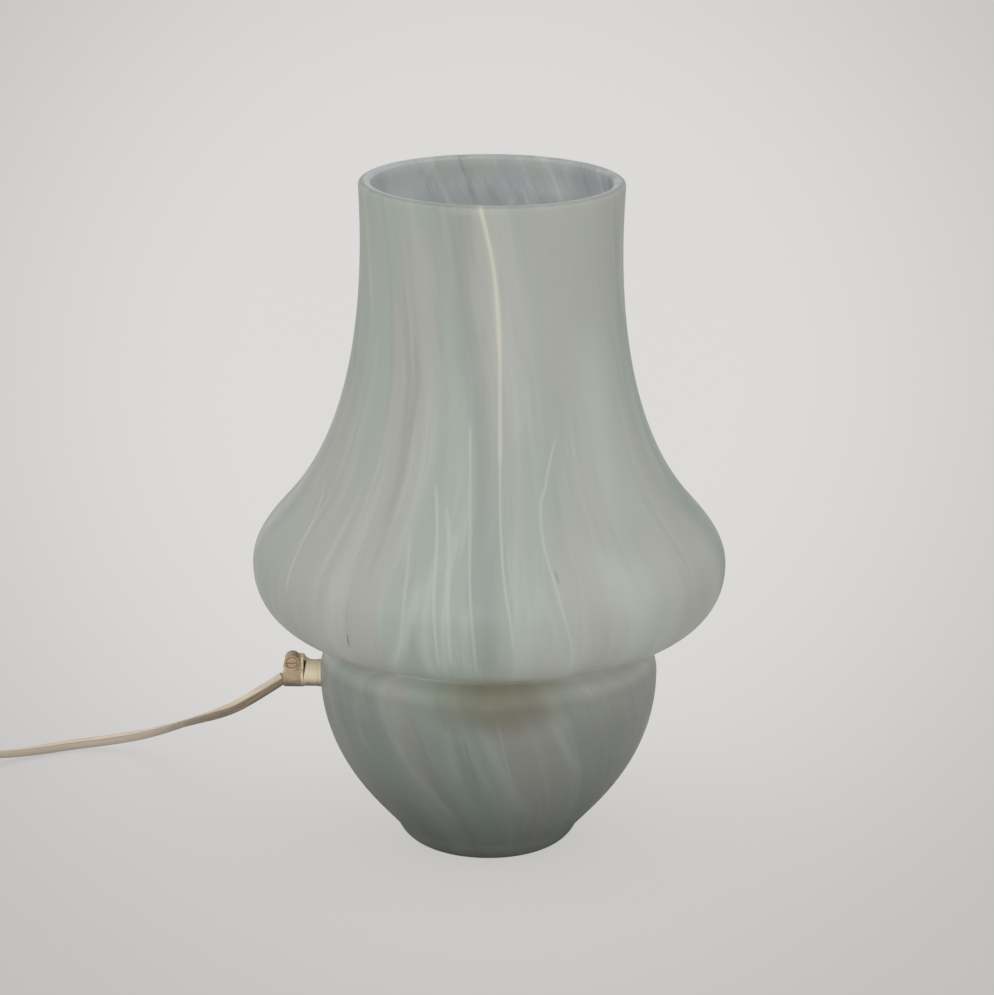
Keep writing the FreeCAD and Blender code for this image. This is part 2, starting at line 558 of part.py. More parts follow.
def make_holder():
    """E27 lampholder: cap, skirt, insulating core, screw sleeve and contacts."""
    spigot = HOLDER_RADIUS - HOLDER_WALL
    cap_top = SEAT_Z + CAP_HEIGHT
    lip_z = cap_top - CAP_LAP
    shoulder = flat_point(HOLDER_RADIUS, lip_z)
    foot = flat_point(CAP_FOOT_RADIUS, SEAT_Z)
    inner_foot = flat_point(THREAD_RADIUS, TUBE_TOP_Z)
    cap = revolved([
        line(flat_point(THREAD_RADIUS, SEAT_Z), foot),
        sweep_curve(foot, 55, shoulder, 90, 0.35, 0.5),
        line(shoulder, flat_point(spigot, lip_z)),
        line(flat_point(spigot, lip_z), flat_point(spigot, cap_top)),
        line(flat_point(spigot, cap_top), flat_point(spigot - HOLDER_WALL, cap_top)),
        line(flat_point(spigot - HOLDER_WALL, cap_top), flat_point(spigot - HOLDER_WALL, CORE_Z)),
        sweep_curve(flat_point(spigot - HOLDER_WALL, CORE_Z), -90, inner_foot, 180, 0.3, 0.3),
        line(inner_foot, flat_point(THREAD_RADIUS, SEAT_Z)),
    ])
    PARTS["holder_cap"] = cap
    slim = HOLDER_RADIUS - SKIRT_STEP
    skirt = revolved([
        line(flat_point(spigot, lip_z), shoulder),
        line(shoulder, flat_point(HOLDER_RADIUS, cap_top)),
        line(flat_point(HOLDER_RADIUS, cap_top), flat_point(slim, cap_top + SKIRT_STEP)),
        line(flat_point(slim, cap_top + SKIRT_STEP), flat_point(slim, HOLDER_TOP_Z - SKIRT_ROUND)),
        sweep_curve(flat_point(slim, HOLDER_TOP_Z - SKIRT_ROUND), 90,
                    flat_point(slim - SKIRT_ROUND, HOLDER_TOP_Z), 180, 0.4, 0.4),
        line(flat_point(slim - SKIRT_ROUND, HOLDER_TOP_Z), flat_point(spigot, HOLDER_TOP_Z)),
        line(flat_point(spigot, HOLDER_TOP_Z), flat_point(spigot, lip_z)),
    ])
    PARTS["holder_skirt"] = skirt

    core = rod(CORE_RADIUS, CORE_HEIGHT, Vector(0, 0, CORE_Z))
    cap_bore = spigot - HOLDER_WALL
    core = core.cut(tube(CORE_RADIUS + 1, cap_bore, cap_top - CORE_Z, Vector(0, 0, CORE_Z)))
    wire_way = [rod(CORE_WIRE_RADIUS + CORD_CLEARANCE, CORE_HEIGHT, Vector(0, side * TERMINAL_OFFSET / 2, CORE_Z))
                for side in (-1, 1)]
    screw_holes = [rod(TERMINAL_SCREW_RADIUS, TERMINAL_SCREW_LENGTH, Vector(side * TERMINAL_OFFSET, 0, CORE_Z))
                   for side in (-1, 1)]
    for void in wire_way + screw_holes:
        core = core.cut(void)
    PARTS["holder_core"] = core
    sleeve_z = CORE_TOP_Z
    sleeve = tube(SLEEVE_RADIUS, SLEEVE_RADIUS - SLEEVE_WALL, SLEEVE_HEIGHT, Vector(0, 0, sleeve_z))
    flange = tube(CORE_RADIUS, SLEEVE_RADIUS - SLEEVE_WALL, SLEEVE_WALL, Vector(0, 0, sleeve_z))
    PARTS["screw_sleeve"] = fused([sleeve, flange])

    spring_end = Vector(CONTACT_WIDTH, 0, CORE_TOP_Z + CONTACT_THICK)
    blade_points = [Vector(-CONTACT_WIDTH, 0, CORE_TOP_Z), Vector(-CONTACT_WIDTH / 2, 0, CORE_TOP_Z),
                    Vector(0, 0, CONTACT_TOP_Z - CONTACT_THICK), spring_end]
    lower = Part.makePolygon([blade_points[0], blade_points[1], blade_points[2], spring_end,
                              spring_end + UP * CONTACT_THICK, blade_points[2] + UP * CONTACT_THICK,
                              blade_points[1] + UP * CONTACT_THICK, blade_points[0] + UP * CONTACT_THICK,
                              blade_points[0]])
    blade = Part.Face(lower).extrude(Vector(0, CONTACT_WIDTH, 0))
    blade.translate(Vector(0, -CONTACT_WIDTH / 2, 0))
    PARTS["centre_contact"] = blade
    screws = []
    for side in (-1, 1):
        head = rod(TERMINAL_HEAD_RADIUS, TERMINAL_HEAD_THICK,
                   Vector(side * TERMINAL_OFFSET, 0, CORE_Z - TERMINAL_HEAD_THICK))
        shank = rod(TERMINAL_SCREW_RADIUS, TERMINAL_SCREW_LENGTH, Vector(side * TERMINAL_OFFSET, 0, CORE_Z))
        groove = centred_box(2 * TERMINAL_HEAD_RADIUS, SCREW_GROOVE, SCREW_GROOVE, side * TERMINAL_OFFSET, 0,
                             CORE_Z - TERMINAL_HEAD_THICK)
        screws.append(fused([head, shank]).cut(groove))
    PARTS["terminal_screws"] = Part.makeCompound(screws)


# --------------------------------------------------------------------- bulb
BULB_LOW_Z = CONTACT_TOP_Z + BULB_GAP
BULB_TOP_Z = BULB_LOW_Z + BULB_LENGTH
BULB_CAP_Z = BULB_LOW_Z + BULB_TIP_HEIGHT + BULB_INSULATOR_HEIGHT
BULB_CAP_TOP_Z = BULB_CAP_Z + BULB_CAP_HEIGHT


def bulb_outline(inset):
    """The envelope's edges from its neck to the top of the globe."""
    globe_z = BULB_TOP_Z - BULB_RADIUS
    radius = BULB_RADIUS - inset
    lean = math.radians(-38)
    throat = flat_point(radius * math.cos(lean), globe_z + radius * math.sin(lean))
    side = flat_point(radius, globe_z)
    upper = flat_point(radius * math.cos(math.radians(40)), globe_z + radius * math.sin(math.radians(40)))
    crown = flat_point(0, BULB_TOP_Z - inset)
    neck = flat_point(BULB_NECK_RADIUS - inset, BULB_CAP_TOP_Z)
    return [
        sweep_curve(neck, 90, throat, 52, 0.38, 0.3),
        Part.Arc(throat, flat_point(radius * math.cos(lean / 2), globe_z + radius * math.sin(lean / 2)), side).toShape(),
        Part.Arc(side, upper, crown).toShape(),
    ]


def make_bulb():
    """Opal lamp with an E27 cap, which lifts out through the chimney."""
    outer = bulb_outline(0)
    inner = bulb_outline(BULB_WALL)
    envelope = revolved([
        *outer,
        line(end_point(outer[-1]), end_point(inner[-1])),
        *reversed(inner),
        line(start_point(inner[0]), start_point(outer[0])),
    ])
    PARTS["bulb_globe"] = envelope
    insulator_top = Vector(0, 0, BULB_CAP_Z)
    PARTS["bulb_tip"] = rod(BULB_TIP_RADIUS, BULB_TIP_HEIGHT, Vector(0, 0, BULB_LOW_Z))
    PARTS["bulb_insulator"] = Part.makeCone(BULB_INSULATOR_RADIUS, BULB_CAP_RADIUS - 1.5, BULB_INSULATOR_HEIGHT,
                                            Vector(0, 0, BULB_LOW_Z + BULB_TIP_HEIGHT))
    cap = rod(BULB_CAP_RADIUS, BULB_CAP_HEIGHT, insulator_top)
    hollow = rod(BULB_CAP_RADIUS - BULB_CAP_WALL, BULB_CAP_HEIGHT, insulator_top + UP * 2 * BULB_CAP_WALL)
    rolled_lip = tube(BULB_NECK_RADIUS, BULB_CAP_RADIUS - BULB_CAP_WALL, BULB_WALL,
                      Vector(0, 0, BULB_CAP_TOP_Z - BULB_WALL))
    PARTS["bulb_cap"] = fused([cap.cut(hollow), rolled_lip])


# --------------------------------------------------------------------- flex
def make_inner_lead():
    """The flex inside the lamp, held by the grip, the tubes and the lampholder."""
    points = [EXIT, Vector(WASHER_OUT_X - GRIP_THREAD_DEPTH, 0, OUTLET_Z)]
    points += [Vector(TUBE_IN_X, 0, OUTLET_Z) + Vector(*point) for point in OUTLET_LEAD_POINTS]
    points += [Vector(*point) for point in HOLDER_LEAD_POINTS]
    points.append(Vector(0, 0, TUBE_TOP_Z + 2))
    edges, radii = rounded_path(points)
    PARTS["inner_lead"] = swept(edges, CORD_RADIUS)
    print("inner_lead length", round(sum(edge.Length for edge in edges), 1), "least bend", round(min(radii), 1))
    cores = []
    for side in (-1, 1):
        near = side * CORE_WIRE_PITCH / 2
        far = side * TERMINAL_OFFSET / 2
        way = [Vector(0, near, TUBE_TOP_Z + 2), Vector(0, near, TUBE_TOP_Z + 3.5),
               Vector(0, far, CORE_Z - 3), Vector(0, far, CORE_Z + 3)]
        cores.append(swept(rounded_path(way)[0], CORE_WIRE_RADIUS))
    PARTS["inner_cores"] = Part.makeCompound(cores)


def coil_steps():
    """How many half pitches each half turn's radius lies inside the first one's."""
    inwards = list(range(COIL_HALF_TURNS_IN + 1))
    outwards = [COIL_HALF_TURNS_IN - turn for turn in range(1, COIL_HALF_TURNS_OUT + 1)]
    return inwards + outwards


def coil_edges(start, outer_radius):
    """Half turns that spiral in, climb one layer and spiral out again.

    Each half turn is one arc, its centre on the line through its two ends, so
    that every turn lies one pitch inside the turn before it.
    """
    edges = []
    spot = start
    side = Vector(1, 0, 0)
    forward = Vector(0, -1, 0)

    def half_turn(spot, side, forward, radius, climb):
        """Two quarter arcs from the spot to its opposite end, rising by climb."""
        across = side * (2 * radius) + UP * climb
        reach = across.Length / 2
        centre = spot + across * 0.5
        middle = centre + forward * reach
        end = spot + across
        outwards = across / across.Length
        quarter = reach * math.sqrt(0.5)
        one = centre + (forward - outwards) * quarter
        two = centre + (forward + outwards) * quarter
        return [Part.Arc(spot, one, middle).toShape(), Part.Arc(middle, two, end).toShape()], end

    radii = [outer_radius - steps * COIL_PITCH / 2 for steps in coil_steps()]
    for turn, radius in enumerate(radii):
        climb = COIL_PITCH if turn == COIL_HALF_TURNS_IN else 0
        arcs, spot = half_turn(spot, side, forward, radius, climb)
        edges += arcs
        side = side * -1
        forward = forward * -1
    return edges, spot, forward, radii


def make_coil(free_length):
    """The put-away length as a neat coil; its size follows from that length."""
    steps_in = coil_steps()
    arc_length = CORD_LENGTH - free_length - 2 * COIL_STRAIGHT
    outer_radius = (arc_length / math.pi + sum(steps_in) * COIL_PITCH / 2) / len(steps_in)
    arcs, finish, forward, radii = coil_edges(COIL_START, outer_radius)
    lead_in = line(COIL_START - Vector(0, -1, 0) * COIL_STRAIGHT, COIL_START)
    coil_end = finish + forward * COIL_STRAIGHT
    edges = [lead_in, *arcs, line(finish, coil_end)]
    solid = swept(edges, CORD_RADIUS)
    length = sum(edge.Length for edge in edges)
    share = solid.Volume / (math.pi * CORD_RADIUS ** 2 * length)
    print("cord_coil length", round(length, 1), "outer radius", round(outer_radius, 2), "least", round(min(radii), 1),
          "mean across", round(2 * sum(radii) / len(radii), 1), "volume share", round(share, 4))
    print("coil's least gap to itself", round(least_gap(edges), 2))
    PARTS["cord_coil"] = solid
    return coil_end, forward


def least_gap(edges):
    """Least free space between the coil's turns, measured on points."""
    spots = []
    travelled = 0.0
    for edge in edges:
        count = max(2, round(edge.Length / 2))
        span = edge.LastParameter - edge.FirstParameter
        for step in range(count):
            share = step / count
            spots.append((travelled + share * edge.Length, edge.valueAt(edge.FirstParameter + share * span)))
        travelled += edge.Length
    away = 6 * CORD_RADIUS
    gaps = [(one[1] - two[1]).Length for index, one in enumerate(spots)
            for two in spots[index + 1:] if two[0] - one[0] > away]
    return min(gaps) - 2 * CORD_RADIUS


# ------------------------------------------------------------------- switch
def switch_at(x, y=0.0, z=0.0):
    """A point of the switch in the lamp's frame."""
    return placed_point(Vector(x, y, z), SWITCH_CENTRE, SWITCH_HEADING)


SOCKET_X = SWITCH_LENGTH / 2 - SWITCH_SOCKET


def switch_block(low_z, high_z, inset=0.0):
    """The switch's outline between two heights, with round corners."""
    block = centred_box(SWITCH_LENGTH - 2 * inset, SWITCH_WIDTH - 2 * inset, high_z - low_z, 0, 0, low_z)
    upright = [edge for edge in block.Edges if abs(edge.tangentAt(edge.FirstParameter).z) > 0.9]
    return block.makeFillet(SWITCH_CORNER - inset, upright)


def edges_at(shape, z):
    """The edges that lie at one height."""
    return [edge for edge in shape.Edges if abs(edge.BoundBox.ZMin - z) < 0.01 and abs(edge.BoundBox.ZMax - z) < 0.01]


def make_switch():
    """Inline rocker switch: two shells, rocker, contacts and screws."""
    ends = centred_box(SWITCH_LENGTH, SWITCH_WIDTH, SWITCH_HEIGHT)
    ends = ends.cut(centred_box(SWITCH_LENGTH - 2 * SWITCH_END_WALL, SWITCH_WIDTH, SWITCH_HEIGHT))
    hollow_top = SWITCH_HEIGHT - SWITCH_WALL
    hollow = switch_block(SWITCH_WALL, hollow_top, SWITCH_WALL).cut(ends)
    sockets = [rod(CORD_RADIUS + CORD_CLEARANCE, SWITCH_SOCKET, Vector(side * SOCKET_X, 0, SWITCH_SPLIT_Z),
                   Vector(side, 0, 0)) for side in (-1, 1)]
    core_slot = centred_box(2 * SOCKET_X, 2 * CORE_WIRE_RADIUS + CORE_WIRE_PITCH + 2 * CORD_CLEARANCE,
                            2 * (CORE_WIRE_RADIUS + CORD_CLEARANCE), 0, 0,
                            SWITCH_SPLIT_Z - CORE_WIRE_RADIUS - CORD_CLEARANCE)
    screw_spots = [Vector(-SWITCH_SCREW_X, SWITCH_SCREW_Y, 0), Vector(SWITCH_SCREW_X, -SWITCH_SCREW_Y, 0)]

    base = switch_block(0, SWITCH_SPLIT_Z)
    base = base.makeFillet(SWITCH_EDGE, edges_at(base, 0)).cut(hollow)
    posts = [rod(SWITCH_POST_RADIUS, SWITCH_SPLIT_Z, spot).common(switch_block(0, SWITCH_SPLIT_Z, 1))
             for spot in screw_spots]
    base = fused([base, *posts])
    cover = switch_block(SWITCH_SPLIT_Z, SWITCH_HEIGHT)
    cover = cover.makeFillet(SWITCH_EDGE, edges_at(cover, SWITCH_HEIGHT)).cut(hollow)
    window_length = ROCKER_LENGTH + 2 * ROCKER_END_CLEARANCE
    window_width = ROCKER_WIDTH + 2 * ROCKER_CLEARANCE
    window = centred_box(window_length, window_width, SWITCH_HEIGHT)
    ear_thick = ROCKER_PIN_LENGTH + 0.4
    ears = []
    for side in (-1, 1):
        middle = side * (window_width + ear_thick) / 2
        ears.append(centred_box(6.0, ear_thick, hollow_top - ROCKER_PIVOT_Z + BEARING_DROP, 0, middle,
                                ROCKER_PIVOT_Z - BEARING_DROP))
    cover_posts = [rod(SWITCH_POST_RADIUS, hollow_top - SWITCH_SPLIT_Z, spot + UP * SWITCH_SPLIT_Z)
                   for spot in screw_spots]
    cover = fused([cover, *ears, *cover_posts]).cut(window)
    bearing_width = window_width + 2 * ROCKER_PIN_LENGTH
    bearing = rod(ROCKER_PIN_RADIUS + ROCKER_PIN_CLEARANCE, bearing_width,
                  Vector(0, -bearing_width / 2, ROCKER_PIVOT_Z), Vector(0, 1, 0))
    cover = cover.cut(bearing)
    screws = []
    for spot in screw_spots:
        head = Part.makeCone(SWITCH_SCREW_HEAD_RADIUS, SWITCH_SCREW_RADIUS, SWITCH_SCREW_HEAD_THICK,
                             spot + UP * SWITCH_SCREW_RECESS)
        shank = rod(SWITCH_SCREW_RADIUS, SWITCH_SCREW_LENGTH, spot + UP * SWITCH_SCREW_RECESS)
        bore = rod(SWITCH_SCREW_HEAD_RADIUS, SWITCH_SCREW_RECESS, spot)
        screw = fused([head, shank])
        base = base.cut(screw).cut(bore)
        cover = cover.cut(screw)
        screws.append(screw.cut(centred_box(2 * SWITCH_SCREW_HEAD_RADIUS, SCREW_GROOVE, SCREW_GROOVE, spot.x, spot.y, SWITCH_SCREW_RECESS)))
    for void in [*sockets, core_slot]:
        base = base.cut(void)
        cover = cover.cut(void)

    live_y = CORE_WIRE_PITCH / 2
    live = [rod(CORE_WIRE_RADIUS, SOCKET_X - TERMINAL_BLOCK_X, Vector(side * SOCKET_X, live_y, SWITCH_SPLIT_Z),
                Vector(-side, 0, 0)) for side in (-1, 1)]
    neutral = rod(CORE_WIRE_RADIUS, 2 * SOCKET_X, Vector(-SOCKET_X, -live_y, SWITCH_SPLIT_Z), Vector(1, 0, 0))
    block_top = SWITCH_WALL + TERMINAL_BLOCK.z
    blocks = []
    for side, wire in zip((-1, 1), live):
        block = centred_box(TERMINAL_BLOCK.x, TERMINAL_BLOCK.y, TERMINAL_BLOCK.z, side * TERMINAL_BLOCK_X,
                            TERMINAL_BLOCK_Y, SWITCH_WALL)
        tongue = centred_box(TERMINAL_BLOCK.x, TONGUE_WIDTH, BRIDGE_THICK,
                             side * (TERMINAL_BLOCK_X - TERMINAL_BLOCK.x / 2),
                             TERMINAL_BLOCK_Y - TERMINAL_BLOCK.y / 2 + TONGUE_WIDTH / 2, block_top)
        blocks.append(fused([block, tongue]).cut(wire))

    pieces = {
        "switch_base": base,
        "switch_cover": cover,
        "switch_screws": Part.makeCompound(screws),
        "switch_terminals": Part.makeCompound(blocks),
        "switch_cores": Part.makeCompound([*live, neutral]),
        "switch_rocker": make_rocker(),
        "rocker_bridge": make_bridge(),
    }
    for name, piece in pieces.items():
        PARTS[name] = place(piece, SWITCH_CENTRE, SWITCH_HEADING)


def tilted(shape):
    """A rocker piece turned from level to its rest stop, lamp side down."""
    turned = shape.copy()
    turned.rotate(Vector(0, 0, ROCKER_PIVOT_Z), Vector(0, 1, 0), -ROCKER_TILT)
    return turned


def make_rocker():
    top = SWITCH_HEIGHT + ROCKER_RISE
    half = ROCKER_LENGTH / 2
    skirt_z = ROCKER_PIVOT_Z + 1.2
    outline = [Vector(-half, 0, skirt_z), Vector(-ROCKER_PIN_RADIUS - 1.2, 0, ROCKER_PIVOT_Z - ROCKER_KEEL),
               Vector(ROCKER_PIN_RADIUS + 1.2, 0, ROCKER_PIVOT_Z - ROCKER_KEEL), Vector(half, 0, skirt_z)]
    sides = [line(one, two) for one, two in zip(outline, outline[1:])]
    right_top = Vector(half, 0, top)
    left_top = Vector(-half, 0, top)
    dished = Part.Arc(right_top, Vector(0, 0, top - ROCKER_DISH), left_top).toShape()
    face = Part.Face(Part.Wire([*sides, line(outline[-1], right_top), dished, line(left_top, outline[0])]))
    body = face.extrude(Vector(0, ROCKER_WIDTH, 0))
    body.translate(Vector(0, -ROCKER_WIDTH / 2, 0))
    long_edges = [edge for edge in body.Edges
                  if abs(edge.CenterOfMass.z - top) < 0.01 and abs(edge.CenterOfMass.y) < 0.01]
    body = body.makeFillet(ROCKER_ROUND, long_edges)
    pin_length = ROCKER_WIDTH + 2 * (ROCKER_CLEARANCE + ROCKER_PIN_LENGTH) - 0.4
    pin = rod(ROCKER_PIN_RADIUS, pin_length, Vector(0, -pin_length / 2, ROCKER_PIVOT_Z), Vector(0, 1, 0))
    return tilted(fused([body, pin]))


def make_bridge():
    """Contact bridge that the rocker carries under its pivot."""
    plate = centred_box(BRIDGE_LENGTH, BRIDGE_WIDTH, BRIDGE_THICK, 0, 0, ROCKER_PIVOT_Z - ROCKER_KEEL - BRIDGE_THICK)
    return tilted(plate)


# --------------------------------------------------------------------- plug
def make_plug(spot, degrees):
    """Flat two-pin plug with its moulded strain relief, pins ahead."""
    axis_z = PLUG_HEIGHT / 2
    tail = PLUG_TAIL_WIDTH / 2
    wide = PLUG_WIDTH / 2
    plan = [Vector(PLUG_RELIEF_LENGTH, -tail, 0), Vector(PLUG_RELIEF_LENGTH + PLUG_SHOULDER, -wide, 0),
            Vector(PLUG_RELIEF_LENGTH + PLUG_LENGTH, -wide, 0), Vector(PLUG_RELIEF_LENGTH + PLUG_LENGTH, wide, 0),
            Vector(PLUG_RELIEF_LENGTH + PLUG_SHOULDER, wide, 0), Vector(PLUG_RELIEF_LENGTH, tail, 0)]
    body = Part.Face(Part.makePolygon([*plan, plan[0]])).extrude(UP * PLUG_HEIGHT)
    upright = [edge for edge in body.Edges if edge.BoundBox.ZLength > PLUG_HEIGHT - 0.1]
    body = body.makeFillet(2 * PLUG_EDGE, upright)
    body = body.makeFillet(PLUG_EDGE, edges_at(body, 0) + edges_at(body, PLUG_HEIGHT))
    along = Vector(1, 0, 0)
    relief = Part.makeCone(PLUG_RELIEF_SMALL, PLUG_RELIEF_BIG, PLUG_RELIEF_LENGTH + 1, Vector(0, 0, axis_z), along)
    for ring in range(PLUG_RELIEF_RINGS):
        share = (ring + 0.7) / (PLUG_RELIEF_RINGS + 0.4)
        radius = PLUG_RELIEF_SMALL + share * (PLUG_RELIEF_BIG - PLUG_RELIEF_SMALL) - PLUG_RING_DEPTH
        groove = tube(2 * PLUG_RELIEF_BIG, radius, PLUG_RING_WIDTH,
                      Vector(share * PLUG_RELIEF_LENGTH - PLUG_RING_WIDTH / 2, 0, axis_z), along)
        relief = relief.cut(groove)
    body = fused([body, relief])
    pins = []
    front = PLUG_RELIEF_LENGTH + PLUG_LENGTH
    for side in (-1, 1):
        base = Vector(front - PIN_ROOT, side * PIN_SPACING / 2, axis_z)
        root = rod(PIN_ROOT_RADIUS, PIN_ROOT, base, along)
        shaft = rod(PIN_RADIUS, PIN_LENGTH, base + along * PIN_ROOT, along)
        tips = [edge for edge in shaft.Edges if abs(edge.CenterOfMass.x - front - PIN_LENGTH) < 0.01]
        pins.append(fused([root, shaft.makeFillet(PIN_RADIUS / 2, tips)]))
        body = body.cut(root)
        middle_x = front + (PIN_LENGTH - PIN_RADIUS / 2) / 2
        mount = placed_point(Vector(middle_x, side * PIN_SPACING / 2, 0), spot, degrees)
        print("plug pin", [round(value, 3) for value in mount])
    low = spot - UP * axis_z
    PARTS["plug_body"] = place(body, low, degrees)
    PARTS["plug_pins"] = place(Part.makeCompound(pins), low, degrees)


# ---------------------------------------------------------------- assembly
def make_flex():
    """The free flex: grip to switch, switch to coil, coil to plug."""
    inlet = switch_at(-SWITCH_LENGTH / 2 + SWITCH_SOCKET, 0, SWITCH_SPLIT_Z)
    inlet_run = switch_at(-SWITCH_LENGTH / 2 - 11.0, 0, SWITCH_SPLIT_Z)
    outlet = switch_at(SOCKET_X, 0, SWITCH_SPLIT_Z)
    outlet_run = switch_at(SWITCH_LENGTH / 2 + 7.0, 0, SWITCH_SPLIT_Z)
    lead = flex("cord_lead", [tuple(EXIT), *LEAD_POINTS, tuple(inlet_run), tuple(inlet)])
    coil_begin = COIL_START + Vector(0, COIL_STRAIGHT, 0)
    tail = flex("cord_tail", [tuple(outlet), tuple(outlet_run), *TAIL_POINTS, tuple(coil_begin)])
    coil_end, forward = make_coil(lead + tail + 2 * SOCKET_X + sum(CORD_END_RUNS))
    plug_spot = coil_end + forward * sum(CORD_END_RUNS)
    plug_spot.z = PLUG_HEIGHT / 2
    end_points = [coil_end, coil_end + forward * CORD_END_RUNS[0], plug_spot - forward * CORD_END_RUNS[2], plug_spot]
    end = flex("cord_end", [tuple(point) for point in end_points])
    coil = PARTS["cord_coil"].Volume / (math.pi * CORD_RADIUS ** 2)
    print("whole flex", round(lead + tail + 2 * SOCKET_X + coil + end, 1))
    make_plug(plug_spot, -90.0)


def main():
    cavity = glass_cavity()
    glass_solid = make_glass(cavity)
    make_outlet(glass_solid, cavity)
    make_grip()
    make_bracket()
    make_holder()
    make_bulb()
    make_inner_lead()
    make_switch()
    make_flex()
    pivot = switch_at(0, 0, ROCKER_PIVOT_Z)
    pivot_axis = placed_point(Vector(0, 1, 0), ORIGIN, SWITCH_HEADING)
    print("rocker pivot", [round(value, 3) for value in pivot], "axis", [round(value, 5) for value in pivot_axis])
    os.makedirs("parts", exist_ok=True)
    for name, shape in PARTS.items():
        box = shape.BoundBox
        print(f"{name:18s} solids {len(shape.Solids)} valid {shape.isValid()} volume {shape.Volume:10.1f} "
              f"x {box.XMin:8.2f} {box.XMax:8.2f} y {box.YMin:8.2f} {box.YMax:8.2f} z {box.ZMin:7.2f} {box.ZMax:7.2f}")
        shape.exportStep(f"parts/{name}.step")


main()
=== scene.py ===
# %% [markdown]
# # A mushroom table lamp in blown glass
# The lamp is one piece of satin glass: a bowl to stand on, a fold for a waist,
# a wide shade and an open chimney. A flat twin flex leaves the bowl through a
# plastic cord grip. This lesson dresses the imported solids with smooth surfaces
# and with finishes that are worked out by nodes. Everything is in metres, with
# +Z up, the middle of the foot at the origin and the photographed front at -Y.

# %% Helpers, and the solids from model.glb
import math

import bpy
import numpy as np
from mathutils import Matrix, Vector


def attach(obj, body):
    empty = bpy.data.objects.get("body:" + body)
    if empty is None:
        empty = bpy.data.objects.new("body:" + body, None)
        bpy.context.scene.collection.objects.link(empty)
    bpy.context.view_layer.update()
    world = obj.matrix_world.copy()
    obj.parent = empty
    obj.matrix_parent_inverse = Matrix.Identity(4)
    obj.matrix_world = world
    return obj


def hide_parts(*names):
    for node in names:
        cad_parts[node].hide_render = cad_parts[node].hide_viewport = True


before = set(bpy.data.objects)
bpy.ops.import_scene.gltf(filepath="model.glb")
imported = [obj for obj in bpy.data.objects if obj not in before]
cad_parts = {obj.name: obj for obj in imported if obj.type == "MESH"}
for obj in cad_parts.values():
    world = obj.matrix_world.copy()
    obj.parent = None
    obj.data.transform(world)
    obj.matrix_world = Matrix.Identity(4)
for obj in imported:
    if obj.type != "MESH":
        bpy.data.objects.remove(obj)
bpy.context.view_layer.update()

# %% [markdown]
# ## The camera
# The picture was taken from some two metres away with a long lens, a little
# above the lamp: the rim's far edge shows, and the sides run almost parallel.
# The place was worked out from the rim's ellipse, the shade's widest ring and
# the foot. The small turns to the side keep the lamp where it stands in the
# picture, and lean it as little as it leans there.

# %% Camera at the photographed place
CAMERA_PLACE = (0.0, -2.00326, 0.71596)
CAMERA_PITCH = math.radians(15.551)
CAMERA_PAN = math.radians(0.092)
CAMERA_ROLL = math.radians(0.45)
LENS_MM = 169.7

camera_data = bpy.data.cameras.new("photo_camera")
camera_data.lens = LENS_MM
camera_data.sensor_width = 36.0
camera = bpy.data.objects.new("photo_camera", camera_data)
bpy.context.scene.collection.objects.link(camera)
turned = (Matrix.Rotation(-CAMERA_PAN, 4, "Z") @ Matrix.Rotation(math.pi / 2 - CAMERA_PITCH, 4, "X")
          @ Matrix.Rotation(CAMERA_ROLL, 4, "Z"))
camera.matrix_world = Matrix.Translation(CAMERA_PLACE) @ turned
bpy.context.scene.camera = camera
print("camera looks down by", round(math.degrees(CAMERA_PITCH), 1), "degrees")

# %% [markdown]
# ## Surfaces from arrays
# The blown glass, the screw threads, the grip and the flex are all made the same
# way: an outline that goes round an axis, or sections that follow a line. So one
# helper closes a grid of points into faces, and everything else only has to say
# where the points are. Rows run along the outline and columns run round it.

# %% Grid to mesh
def grid_faces(rows, columns, closed_rows=False):
    """Quads round each row of points: (row, column) to (row + 1, column + 1)."""
    row, column = np.divmod(np.arange((rows if closed_rows else rows - 1) * columns), columns)
    next_row, next_column = (row + 1) % rows, (column + 1) % columns
    return np.stack([row * columns + column, row * columns + next_column,
                     next_row * columns + next_column, next_row * columns + column], axis=1).tolist()


def closed_shell(rows):
    """A closed form whose loops of points follow each other; a fan closes each end."""
    rows = np.asarray(rows, float)
    count, columns = rows.shape[:2]
    points = np.vstack([rows.reshape(-1, 3), rows[0].mean(axis=0), rows[-1].mean(axis=0)])
    here = np.arange(columns)
    after, top = (here + 1) % columns, (count - 1) * columns
    fans = np.vstack([np.stack([np.full(columns, len(points) - 2), after, here], axis=1),
                      np.stack([np.full(columns, len(points) - 1), top + here, top + after], axis=1)])
    return points, grid_faces(count, columns) + fans.tolist()


def mesh_object(name, points, faces, sharp_degrees):
    """A smooth shaded mesh with creases where its faces meet at a sharp angle."""
    mesh = bpy.data.meshes.new(name)
    mesh.from_pydata(np.asarray(points, float).reshape(-1, 3).tolist(), [], faces)
    mesh.validate()
    mesh.polygons.foreach_set("use_smooth", np.ones(len(mesh.polygons), bool))
    mesh.set_sharp_from_angle(angle=math.radians(sharp_degrees))
    mesh.update()
    piece = bpy.data.objects.new(name, mesh)
    bpy.context.scene.collection.objects.link(piece)
    return piece


